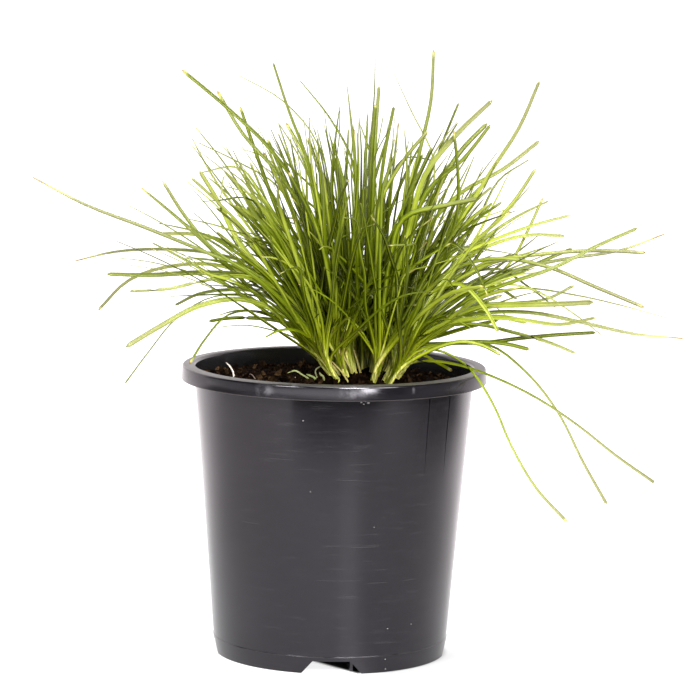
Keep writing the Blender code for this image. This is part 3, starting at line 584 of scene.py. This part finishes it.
def strand_mesh(way, thickness):
    """A round strand along a way, thinning to both its ends."""
    path = curve_through([Vector((x, y, crust_level(x * MM, y * MM) / MM + above)) * MM
                          for x, y, above in way], 6)
    mesh, rings = bmesh.new(), []
    for number, spot in enumerate(path):
        ahead = (path[min(number + 1, len(path) - 1)] - path[max(number - 1, 0)]).normalized()
        across = ahead.orthogonal().normalized() if not rings else ahead.cross(side).normalized()
        side = across.cross(ahead)
        share = number / (len(path) - 1)
        radius = thickness / 2 * MM * (0.25 + 0.75 * min(1, 5 * share, 5 * (1 - share)))
        turns = (math.tau * corner / STRAND_SIDES for corner in range(STRAND_SIDES))
        rings.append([mesh.verts.new(spot + radius * (across * math.cos(turn)
                                                      + side * math.sin(turn))) for turn in turns])
    join_rings(mesh, rings)
    mesh.faces.new(rings[0])
    mesh.faces.new(rings[-1])
    return mesh


for name, colour, thickness, way in STRANDS:
    strand = set_out(name, strand_mesh(way, thickness))
    strand.data.shade_smooth()
    strand.data.materials.append(plain_finish(name + "_skin", colour, 0.6))
    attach(strand, "root")


# ---------------------------------------------------------------- the shoots
# Twenty-six grass shoots, each a flat pale sheath that opens into a fan of narrow leaves. A leaf
# is a thin green strip folded along its midrib, and grows on from its CAD blade's own sections.

BLADE_STEPS = 4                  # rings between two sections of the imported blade
BLADE_FULLNESS = 0.77            # a leaf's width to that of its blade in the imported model
ACROSS = (-1, -0.5, 0, 0.5, 1)   # where a leaf's corners lie, from one edge to the other
FOOT_DROP = 9.5 * MM             # from a leaf's collar down to its foot in the mix
SHEATH_WIDTH = 2.9 * MM          # of a leaf's base, which clasps the ones inside it
SHEATH_RISE = 28 * MM
FOOT_RISE = 18 * MM              # over which the sheath widens from its foot
TAPER_START = 0.6                # share of its length from which a leaf narrows
TURNING_RISE = 50 * MM           # over which a leaf turns its broad side to the front
BUNDLE = 0.88                    # how tightly the sheaths of a shoot are bundled at the mix
BUNDLE_SPREAD = (1.6 * MM, 1.1 * MM)    # half the bundle, along the shoot's fan and across it
DRAWN_IN = 0.2                   # how far the shoots' feet are drawn in towards the crown on X
SPLAY = (36 * MM, 60 * MM)       # how far below the mix the shoots' lines meet, on X and on Y
FRONT = Vector((0, -1, 0))
UP = Vector((0, 0, 1))


def packed_leaves(node):
    """The leaves of a packed shoot: for each the three corners of its sections, tip first."""
    mesh = bmesh.new()
    mesh.from_mesh(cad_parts[node].data)
    bmesh.ops.remove_doubles(mesh, verts=mesh.verts, dist=0.01 * MM)
    leaves = []
    for tip in mesh.verts:
        if len(tip.link_edges) != 3:
            continue
        seen, ring, sections = {tip}, {tip}, [[tip.co.copy()] * 3]
        while True:
            ring = {edge.other_vert(vert) for vert in ring for edge in vert.link_edges} - seen
            if len(ring) != 3:
                break
            sections.append([vert.co.copy() for vert in sorted(ring, key=lambda vert: vert.co.x)])
            seen |= ring
        leaves.append(sections)
    mesh.free()
    leaves.sort(key=lambda sections: round(sections[0][0].x / MM, 2))
    return leaves


def edge_pair(section):
    """The two edges of a blade's section, which are its corners furthest apart."""
    a, b, c = section
    return max(((a, b), (b, c), (a, c)), key=lambda pair: (pair[0] - pair[1]).length)


def leaf_spine(sections):
    """A leaf's middles and sides from its root to its tip, and its full width."""
    middles, sides, widths = [sections[0][0]], [None], []
    for section in sections[1:-1]:
        a, b = edge_pair(section)
        keel = next(corner for corner in section if corner is not a and corner is not b)
        middle = (a + b) / 2
        side = (a - b).normalized()
        if side.cross(middles[-1] - middle).dot(middle - keel) > 0:
            side = -side
        middles.append(middle)
        sides.append(side)
        widths.append((a - b).length)
    sides[0] = sides[1]
    collar = sum(sections[-1], Vector()) / 3
    middles += [collar, collar - UP * FOOT_DROP]
    sides += [sides[-1]] * 2
    return middles[::-1], sides[::-1], BLADE_FULLNESS * max(widths)


def bundled(path, root, lean):
    """A leaf's path with its sheath drawn in to a line that its shoot rises along."""
    drawn, rise, before = [], 0.0, path[0]
    for spot in path:
        rise += (spot - before).length
        before = spot
        line = root + lean * (spot.z - root.z)
        hold = BUNDLE * math.exp(-(rise / SHEATH_RISE) ** 2)
        drawn.append(Vector((*spot.xy.lerp(line.xy, hold), spot.z)))
    return drawn


def between_all(values, steps):
    """Values carried evenly from each one to the next."""
    spread = [values[0]]
    for a, b in zip(values, values[1:]):
        spread += [a + (b - a) * (step / steps) for step in range(1, steps + 1)]
    return spread


def leaf_width(full, rise, share, tip_share):
    """A leaf's width where it has risen so far: a broad sheath, then the blade, then its taper."""
    sheath = 1 + (SHEATH_WIDTH / full - 1) * math.exp(-(rise / SHEATH_RISE) ** 2)
    foot = 0.5 + 0.5 * min(1, rise / FOOT_RISE)
    taper = max(0.0, (share - TAPER_START) / (1 - TAPER_START)) ** 2
    return full * sheath * foot * (1 - (1 - tip_share) * taper)


def grow_leaf(mesh, layers, path, sides, full, traits, fold, tip_share, turned):
    """A folded leaf: rings of corners round its path, closed to a point at the tip."""
    nib = path[-1].lerp(path[-2], min(0.6, 0.8 * full / (path[-1] - path[-2]).length))
    path = path[:-1] + [nib, path[-1]]
    sides = between_all(sides, BLADE_STEPS) + [sides[-1]]
    lengths = [0.0]
    for a, b in zip(path, path[1:]):
        lengths.append(lengths[-1] + (b - a).length)

    def corner_at(spot, number, across):
        corner = mesh.verts.new(spot)
        corner[layers["rise"]] = lengths[number]
        corner[layers["left"]] = lengths[-1] - lengths[number]
        corner[layers["across"]] = across
        for name, value in traits.items():
            corner[layers[name]] = value
        return corner

    rings = []
    for number, (spot, side) in enumerate(zip(path[:-1], sides)):
        ahead = (path[number + 1] - path[max(number - 1, 0)]).normalized()
        # the blade turns its broad side some of the way to the front, as it rises
        broad = ahead.cross(FRONT)
        turning = turned * min(1, lengths[number] / TURNING_RISE)
        side = side.lerp(-broad if broad.dot(side) < 0 else broad, turning)
        side = (side - ahead * side.dot(ahead)).normalized()
        face = ahead.cross(side)
        share = lengths[number] / lengths[-1]
        half = leaf_width(full, lengths[number], share, tip_share) / 2
        keel = half * fold * (1.3 - 0.5 * min(1, 1.6 * share))
        upper, lower = [], []
        for across in ACROSS:
            dip = keel * (1 - abs(across) ** 1.25)
            thick = (0.34 - 0.2 * abs(across)) * MM * (1 - 0.5 * share)
            base = spot + side * half * across - face * dip
            upper.append(corner_at(base, number, across))
            if abs(across) < 1:
                lower.append(corner_at(base - face * thick, number, across))
        rings.append(upper + lower[::-1])
    count = len(rings[0])
    join_rings(mesh, rings)
    tip = corner_at(path[-1], len(path) - 1, 0.0)
    for corner in range(count):
        mesh.faces.new((rings[-1][corner], rings[-1][(corner + 1) % count], tip))
    mesh.faces.new(rings[0])


# What a leaf's corners carry: how far they are from its root and from its tip, their place across
# it, how light it is, and how dry its tip is: HUSK_DRY in a husk, FAR_DRY in the furthest out
LEAF_LAYERS = ("rise", "left", "across", "tone", "dry")
HUSK_DRY, FAR_DRY = 1.0, 2.5
# Red, green and blue of a leaf: its blade, then its sheath, then its dry tip
DARK_GREEN, MID_GREEN = (0.009, 0.019, 0.0002), (0.113, 0.158, 0.0012)
LIGHT_GREEN, FADED_GREEN = (0.41, 0.47, 0.05), (0.236, 0.234, 0.118)
RIB_GREEN, MIDRIB_GREEN = (0.44, 0.52, 0.015), (0.50, 0.58, 0.03)
SHEATH_LIME, BLEACHED = (0.45, 0.51, 0.010), (1.0, 0.96, 0.28)
SHEATH_GREEN, SHEATH_TAN = (0.24, 0.29, 0.012), (0.36, 0.25, 0.08)
STRAW, DEAD_BROWN, HUSK_BROWN = (0.62, 0.60, 0.20), (0.26, 0.16, 0.05), (0.44, 0.36, 0.12)


def leaf_green():
    """Living grass leaf: yellow-green, ribbed, pale at its base, with light shining through."""
    green, tree, shader = material("leaf_green")
    place = add_node("TexCoord", {}, tree).outputs["Object"]
    rise, left, across, tone, dry = (
        add_node("Attribute", {}, tree, attribute_name=name).outputs["Fac"] for name in LEAF_LAYERS)
    patches = maths("SUBTRACT", fine_noise(place, 60, 3, 0.5), 0.5)
    ripening = eased(rise, 50 * MM, 170 * MM, -0.12, 0.05)
    shade = maths("ADD", maths("ADD", tone, ripening), product(patches, 0.4))
    ribs = maths("SINE", product(across, 26.0))
    midrib = eased(maths("ABSOLUTE", across), 0.03, 0.17, 0.4, 0.0)
    # leaves fade towards their ends, and sooner where they reach out to a side
    across_x = add_node("SeparateXYZ", {"Vector": place}).outputs["X"]
    sideways = apart(across_x, CROWN.x)
    reached = maths("MAXIMUM", eased(rise, 112 * MM, 205 * MM, 0.0, 0.88),
                    eased(sideways, 70 * MM, 150 * MM, 0.0, 0.8))
    fading = product(reached, eased(shade, 0.2, 0.75, 0.12, 1.0))
    # the sheaths are bleached at the foot, higher up in the lighter leaves, and lime above that
    lime = product(eased(rise, 26 * MM, 62 * MM, 1.0, 0.0), eased(tone, 0.1, 0.9, 0.15, 0.85))
    above_foot = maths("SUBTRACT", rise, product(tone, 34 * MM))
    # streaks of green and tan run up them
    upright = add_node("Mapping", {"Vector": place, "Scale": (1, 1, 0.1)}).outputs["Vector"]
    streaks = fine_noise(upright, 620, 3, 0.6)
    low_down = eased(rise, 30 * MM, 52 * MM, 1.0, 0.0)
    greening = product(low_down, eased(streaks, 0.46, 0.60, 0.0, 0.75))
    tanning = product(low_down, eased(streaks, 0.42, 0.34, 0.0, 0.6))
    # tips die back to straw and then to brown, further down the drier they are
    tip_reach = maths("ADD", product(dry, 7 * MM), 0.4 * MM)
    spent = maths("DIVIDE", left, tip_reach)
    colour = coated(
        DARK_GREEN,
        (eased(shade, 0.0, 0.5), MID_GREEN),
        (eased(shade, 0.5, 1.0), LIGHT_GREEN),
        (eased(ribs, -1.0, 1.0, 0.0, 0.16), RIB_GREEN),
        (midrib, MIDRIB_GREEN), (fading, FADED_GREEN), (lime, SHEATH_LIME),
        (eased(above_foot, -10 * MM, 11 * MM, 0.95, 0.0), BLEACHED),
        (greening, SHEATH_GREEN), (tanning, SHEATH_TAN),
        (eased(spent, 0.6, 2.2, 0.75, 0.0), STRAW),
        (eased(spent, 0.3, 0.9, 0.85, 0.0), DEAD_BROWN),
        (product(maths("COMPARE", dry, HUSK_DRY, 0.05), 0.7), HUSK_BROWN))
    relief = maths("ADD", ribs, product(patches, 0.6))
    bump = add_node("Bump", {"Height": relief, "Strength": 0.35, "Distance": 0.06 * MM})
    feed(shader, {"Base Color": colour, "Roughness": 0.24, "Specular IOR Level": 0.5,
                  "Specular Tint": (1.0, 1.0, 0.6), "Normal": bump.outputs["Normal"]})
    through = add_node("BsdfTranslucent", {"Color": colour})
    glow = add_node("MixShader", {0: 0.27, 1: shader.outputs[0], 2: through.outputs[0]})
    feed(tree.nodes["Material Output"], {"Surface": glow.outputs[0]})
    return green


growing = random.Random(42)
RIGHT_FROM, RIGHT_SPAN = -9 * MM, 56 * MM   # where on X the shoots grow sparser, and over how much
EXTRA_LEAVES = (21, 9)           # in the shoots furthest left and furthest right
VIGOUR, WEAKER_RIGHT = 1.06, 0.22           # length of their leaves, and less of it at the right
COLLAR_ALONG, COLLAR_ACROSS, COLLAR_UP = 4.5, 1.6, 1    # reach of a shoot's collars, in mm
CROWN_RADIUS = 30 * MM           # over which the shoots lean out more, with less painted shade
SHADED_HEART = 24 * MM                  # half the width of the clump's heart, darkened as painted shade
LIGHTEST = 0.86                  # tone of the lightest leaves
FAR_REACH = 195 * MM             # leaves that reach beyond this to a side have withered ends
HANGING = 196 * MM               # leaves that end below this hang over the rim, and are thinner
THICK_TOP = 352 * MM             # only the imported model's own leaves reach higher than this
ARCH_STEPS = 6
# How the leaves in the thick of the clump grow: the share of them, how far they turn from the way
# the shoot faces, then their lean, their bend and their length in mm, each as a least and a most
HABITS = (
    (0.32, 0.8, (11, 57), (5, 36), (110, 185)),
    (0.60, 1.6, (2, 26), (4, 34), (115, 190)),
    (1.00, 3.1, (6, 42), (18, 80), (75, 148)),
)
FILLING_WIDTHS = (1.2, 1.5, 1.9, 2.3, 2.8)      # in mm
KINKED = 0.14                    # share of the leaves that are bent over at a kink
leaf_finish = leaf_green()


def has_room(spot):
    """True where a leaf may pass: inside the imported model's box, and well above the rim."""
    low, high = cad_box
    radius = spot.xy.length / MM
    inside = all(low[axis] + MM < spot[axis] < high[axis] - MM for axis in range(2))
    over_rim = spot.z > HANGING or radius < 78 or (radius > 106 and spot.z > 150 * MM)
    return inside and spot.z < THICK_TOP and over_rim


def arched(points, way, lean, bend, length, kink, sways):
    """Points on from a leaf's throat, leaning out more and more, and over at any kink."""
    points = list(points)
    for number in range(ARCH_STEPS):
        way = Matrix.Rotation(sways[number], 3, "Z") @ way
        angle = lean + bend * ((number + 0.7) / ARCH_STEPS) ** 1.6
        if kink and number >= kink[0]:
            angle += kink[1]
            way = Matrix.Rotation(kink[2], 3, "Z") @ way
        ahead = way * math.sin(angle) + UP * math.cos(angle)
        points.append(points[-1] + ahead * length / ARCH_STEPS)
    return points


def filling_leaf(chance, collar, fan, outward, vigour):
    """The spine of a leaf in the thick of the clump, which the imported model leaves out."""
    pick = chance.random()
    _, spread, leans, bends, sizes = next(habit for habit in HABITS if pick <= habit[0])
    heading = math.atan2(fan.y, fan.x) + chance.uniform(-spread, spread)
    lean = math.radians(leans[0] + (leans[1] - leans[0]) * outward * chance.random())
    bend = math.radians(chance.uniform(*bends))
    length = chance.uniform(*sizes) * MM * (1.34 - 0.42 * outward) * vigour
    kink = None
    if chance.random() < KINKED:
        kink = (chance.choice((3, 4, 5)), math.radians(chance.uniform(20, 55)),
                chance.uniform(-0.4, 0.4))
    way = Vector((math.cos(heading), math.sin(heading), 0))
    sways = [chance.uniform(-0.24, 0.24) for _ in range(ARCH_STEPS)]
    throat = [collar - UP * FOOT_DROP, collar, collar + (UP + way * math.tan(lean) * 0.4) * 8 * MM]
    for _ in range(12):
        points = arched(throat, way, lean, bend, length, kink, sways)
        if all(has_room(spot) for spot in points[3:]):
            break
        length, lean, bend = 0.92 * length, 0.9 * lean, 0.9 * bend
    full = chance.choice(FILLING_WIDTHS) * MM
    roll = math.radians(chance.uniform(-60, 60))
    twist = math.radians(chance.uniform(-60, 60))
    level = UP.cross(way)
    sides = []
    for number, point in enumerate(points):
        ahead = (points[min(number + 1, len(points) - 1)] - points[max(number - 1, 0)]).normalized()
        grown = max(0.0, (number - 2) / ARCH_STEPS)
        sides.append(Matrix.Rotation(roll * min(1, 2 * grown) + twist * grown, 3, ahead) @ level)
    return points, sides, full


def husk(chance, collar, lean):
    """The spine of a short papery scale that wraps the foot of a shoot."""
    rise = chance.uniform(7, 19) * MM
    out = Vector((chance.uniform(-0.1, 0.1), chance.uniform(-0.1, 0.1), 1)) + lean
    points = [collar - UP * FOOT_DROP, collar, collar + out * rise * 0.5, collar + out * rise]
    side = Matrix.Rotation(chance.uniform(0, math.pi), 3, "Z") @ Vector((1, 0, 0))
    return points, [side] * 4, 1.7 * MM


shoot_nodes = sorted(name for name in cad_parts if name.startswith("shoot_"))
for node in shoot_nodes:
    mesh = bmesh.new()
    layers = {name: mesh.verts.layers.float.new(name) for name in LEAF_LAYERS}
    spines = [leaf_spine(sections) for sections in packed_leaves(node)]
    own_count = len(spines)
    collars = sorted((spine[0][1] for spine in spines), key=lambda collar: collar.x)
    root = sum(collars, Vector()) / len(collars)
    fan = (collars[-1] - collars[0]).normalized()
    if fan.xy.dot(root.xy - CROWN) < 0:
        fan = -fan
    away = min(1.0, (root.xy - CROWN).length / CROWN_RADIUS + 0.25)
    lean = Vector(((root.x - CROWN.x) / SPLAY[0], (root.y - CROWN.y) / SPLAY[1], 0))
    rightward = min(1, max(0, (root.x - RIGHT_FROM) / RIGHT_SPAN))
    extra = round(EXTRA_LEAVES[0] + (EXTRA_LEAVES[1] - EXTRA_LEAVES[0]) * rightward)
    for _ in range(extra):
        collar = root + fan * growing.uniform(-COLLAR_ALONG, COLLAR_ALONG) * MM
        collar += UP * growing.uniform(-COLLAR_UP, COLLAR_UP) * MM
        collar += UP.cross(fan) * growing.uniform(-COLLAR_ACROSS, COLLAR_ACROSS) * MM
        vigour = VIGOUR - WEAKER_RIGHT * rightward
        spines.append(filling_leaf(growing, collar, fan, away, vigour))
    green_count = len(spines)
    if rightward < 0.5:
        spines.append(husk(growing, root, lean))
    for number, (middles, sides, full) in enumerate(spines):
        # the sheath's own seat in the bundle
        seat = root + Vector(((CROWN.x - root.x) * DRAWN_IN, 0, 0))
        seat += fan * growing.uniform(-1, 1) * BUNDLE_SPREAD[0]
        seat += UP.cross(fan) * growing.uniform(-1, 1) * BUNDLE_SPREAD[1]
        path = bundled(curve_through(middles, BLADE_STEPS), seat, lean)
        own = number < own_count
        tone = growing.random()
        # painted shade: the leaves in the heart of the clump are painted darkest
        heart_shade = math.exp(-((path[len(path) // 2].x - CROWN.x) / SHADED_HEART) ** 2)
        tone = 0.14 + 0.8 * tone if own else 0.98 * tone ** 1.3
        tone = min(LIGHTEST, tone * (0.42 + 0.76 * away) * (1 - 0.36 * heart_shade))
        traits = {"tone": tone, "dry": (0.5 if own else 0.9) * growing.random() ** 4}
        if number >= green_count:
            traits["dry"] = HUSK_DRY
            path = [spot + (seat - root) for spot in path]
        # the leaves end bluntly, but the thin ones and the furthest out in a point
        far_out = abs(path[-1].x - CROWN.x) > FAR_REACH
        blunt = own and full > 2 * MM and abs(path[-1].x) > 20 * MM
        tip_share = growing.uniform(0.65, 0.95) if blunt else growing.uniform(0.12, 0.5)
        if far_out:
            tip_share, traits["dry"] = 0.3, FAR_DRY
            traits["tone"] = 0.28 + 0.36 * tone
        turned = growing.uniform(0.35, 0.9) if own else growing.uniform(0.0, 0.65)
        if path[-1].z < HANGING:
            # lit from above at the right, and darker at the left
            full, tip_share, turned = min(0.66 * full, 1.6 * MM), 1.35, 0.9
            traits["tone"] = 0.66 if path[-1].x > 0 else 0.4
        fold = growing.uniform(0.55, 1.0)
        grow_leaf(mesh, layers, path, sides, full, traits, fold, tip_share, turned)
    shoot = set_out(node + "_leaves", mesh)
    shoot.data.shade_smooth()
    shoot.data.materials.append(leaf_finish)
    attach(shoot, "root")
    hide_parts(node)


# ---------------------------------------------------------------- floor, lights and camera
# A white paper sweep under and behind the pot, lit softly from above and from both sides.

# Of the sweep, in metres: its front edge, where it bends, the radius of the bend, its top edge, and
# half its width
SWEEP_FRONT, SWEEP_BEND, BEND_RADIUS, SWEEP_TOP, SWEEP_HALF = -12.0, 2.4, 1.4, 7.6, 9.5


def white_sweep():
    """A floor that curves up into a wall behind, in one sheet."""
    mesh = bmesh.new()
    outline = [(SWEEP_FRONT, 0.0), (SWEEP_BEND, 0.0)]
    for turn in (math.radians(9 * step) for step in range(1, 11)):
        back, up = BEND_RADIUS * math.sin(turn), BEND_RADIUS * (1 - math.cos(turn))
        outline.append((SWEEP_BEND + back, up))
    outline.append((SWEEP_BEND + BEND_RADIUS, SWEEP_TOP))
    rows = [[mesh.verts.new((x, y, z)) for x in (-SWEEP_HALF, SWEEP_HALF)] for y, z in outline]
    for (a, b), (d, c) in zip(rows, rows[1:]):
        mesh.faces.new((a, b, c, d))
    return mesh


def white_paper():
    """White paper that glows round the pot, and to the eye is plain white a little way off."""
    paper, tree, shader = material("white_paper")
    place = add_node("TexCoord", {}, tree).outputs["Object"]
    from_pot = add_node("VectorMath", {0: place}, operation="LENGTH").outputs["Value"]
    parts = add_node("SeparateXYZ", {"Vector": place})
    x, y = parts.outputs["X"], parts.outputs["Y"]
    turn = maths("DEGREES", maths("ARCTAN2", x, product(y, -1.0)))
    # where light comes in under the pot, which is in front of a line from one notch to another
    slant = add_node("VectorMath", {0: place, 1: (0.76, 0.65, 0)}, operation="DOT_PRODUCT")
    under = maths("MAXIMUM", eased(from_pot, 70 * MM, 79 * MM),
                  eased(slant.outputs["Value"], -36 * MM, -30 * MM, 1.0, 0.0))
    # the paper is flagged off to both sides, sooner to the right
    aside = maths("MAXIMUM", x, product(x, -0.55))
    flagged = maths("MAXIMUM", eased(aside, 0.5, 0.7, 1.0, 0.0), eased(y, 0.3, 0.7))
    flagged = maths("MAXIMUM", flagged, eased(aside, 1.2, 1.6, 0.0, 0.55))
    lit = product(flagged, under)
    # it glows all round the pot: most of all behind it and in a strip before it, least to its right
    dull = product(eased(turn, 18.0, 30.0), eased(turn, 70.0, 120.0, 0.46, 0.2))
    glow = maths("SUBTRACT", eased(apart(turn, 13.0), 3.0, 9.0, 1.05, 0.70), dull)
    glow = maths("ADD", glow, eased(y, 0.05, 0.45, 0.0, 0.6))
    glow = maths("ADD", glow, eased(from_pot, 0.085, 0.12, 0.14, 0.0))
    pinkish = eased(aside, 0.08, 0.25)
    seen = add_node("LightPath", {}, tree).outputs["Is Camera Ray"]
    plain_white = product(seen, eased(from_pot, 0.25, 0.45, 0.0, 1.3))
    feed(shader, {
        "Base Color": coated((0.03, 0.03, 0.03), (lit, (0.3, 0.3, 0.3))),
        "Emission Color": coated((1, 1, 1), (pinkish, (1, 0.91, 0.94))),
        "Emission Strength": maths("MAXIMUM", product(glow, lit), plain_white),
        "Roughness": 0.9})
    return paper


sweep = set_out("paper_sweep", white_sweep())
sweep.data.shade_smooth()
sweep.data.materials.append(white_paper())

# Place, aim, width and height of each soft light in metres, and its power in watts
SOFT_LIGHTS = (
    ("light_above", (0.1, -0.3, 2.2), (0, 0, 0.2), 1.0, 1.0, 44),
    ("light_key", (0.55, -2.0, 1.15), (0.02, 0, 0.2), 0.7, 0.5, 72),
    ("light_left", (-1.4, -1.9, 1.5), (0, 0, 0.25), 0.7, 0.9, 42),
    ("light_right", (1.5, -1.7, 1.5), (0, 0, 0.25), 0.7, 0.9, 41),
    ("light_low", (1.05, -2.2, 0.42), (0, 0, 0.15), 0.4, 0.3, 13),
    ("light_front", (-1.1, -3.0, 0.27), (-1.1, 0, 0.27), 5.0, 0.5, 24),
    ("light_far_left", (-3.4, -0.6, 0.25), (0, -0.6, 0.25), 3.4, 0.5, 5.3),
    ("light_far_right", (3.4, -0.6, 0.25), (0, -0.6, 0.25), 3.4, 0.5, 2.1),
    ("light_behind", (0, 1.0, 1.6), (0, 0.1, 0.25), 1.6, 0.8, 14),
)
for name, place, aim, width, height, power in SOFT_LIGHTS:
    lamp = bpy.data.lights.new(name, "AREA")
    lamp.shape = "RECTANGLE"
    lamp.size, lamp.size_y, lamp.energy = width, height, power
    light = bpy.data.objects.new(name, lamp)
    light.location = place
    light.rotation_euler = (Vector(aim) - Vector(place)).to_track_quat("-Z", "Y").to_euler()
    light.visible_camera = False
    bpy.context.scene.collection.objects.link(light)


CARD_CORNERS = ((-0.31, -0.5), (0.5, -0.5), (1.3, -1.4), (-0.87, -1.4))     # in metres
CARD_FACES = (0.002, 0.006)      # heights of its underside and its top


def dark_card():
    """A dark card on the floor before the pot, which the pot's wall mirrors above its middle."""
    mesh = bmesh.new()
    rings = [[mesh.verts.new((x, y, z)) for x, y in CARD_CORNERS] for z in CARD_FACES]
    for ring in rings:
        mesh.faces.new(ring)
    join_rings(mesh, rings)
    return mesh


card = set_out("dark_card", dark_card())
card.visible_camera = False
felt, _, felt_shader = material("black_felt")
feed(felt_shader, {"Base Color": (0.02, 0.02, 0.02), "Roughness": 1})
card.data.materials.append(felt)

sky = bpy.data.worlds.new("studio")
sky.use_nodes = True
sky_tree = sky.node_tree
sky_seen = add_node("LightPath", {}, sky_tree).outputs["Is Camera Ray"]
feed(sky_tree.nodes["Background"], {
    "Color": (0.9, 0.93, 1.0), "Strength": eased(sky_seen, 0.0, 1.0, 0.04, 1.3)})
bpy.context.scene.world = sky
bpy.context.scene.view_settings.view_transform = "Standard"

AIM = Vector((10.1, 0, 199.7)) * MM
CAMERA_DISTANCE = 2.287
CAMERA_RISE = math.radians(7.62)
CAMERA_ROLL = math.radians(0.975)
camera = bpy.data.cameras.new("camera")
camera.sensor_width = 36
camera.lens = 179.7
viewer = bpy.data.objects.new("camera", camera)
back = Vector((0, -math.cos(CAMERA_RISE), math.sin(CAMERA_RISE)))
viewer.matrix_world = (Matrix.Translation(AIM + back * CAMERA_DISTANCE)
                       @ back.to_track_quat("Z", "Y").to_matrix().to_4x4()
                       @ Matrix.Rotation(CAMERA_ROLL, 4, "Z"))
bpy.context.scene.collection.objects.link(viewer)
bpy.context.scene.camera = viewer
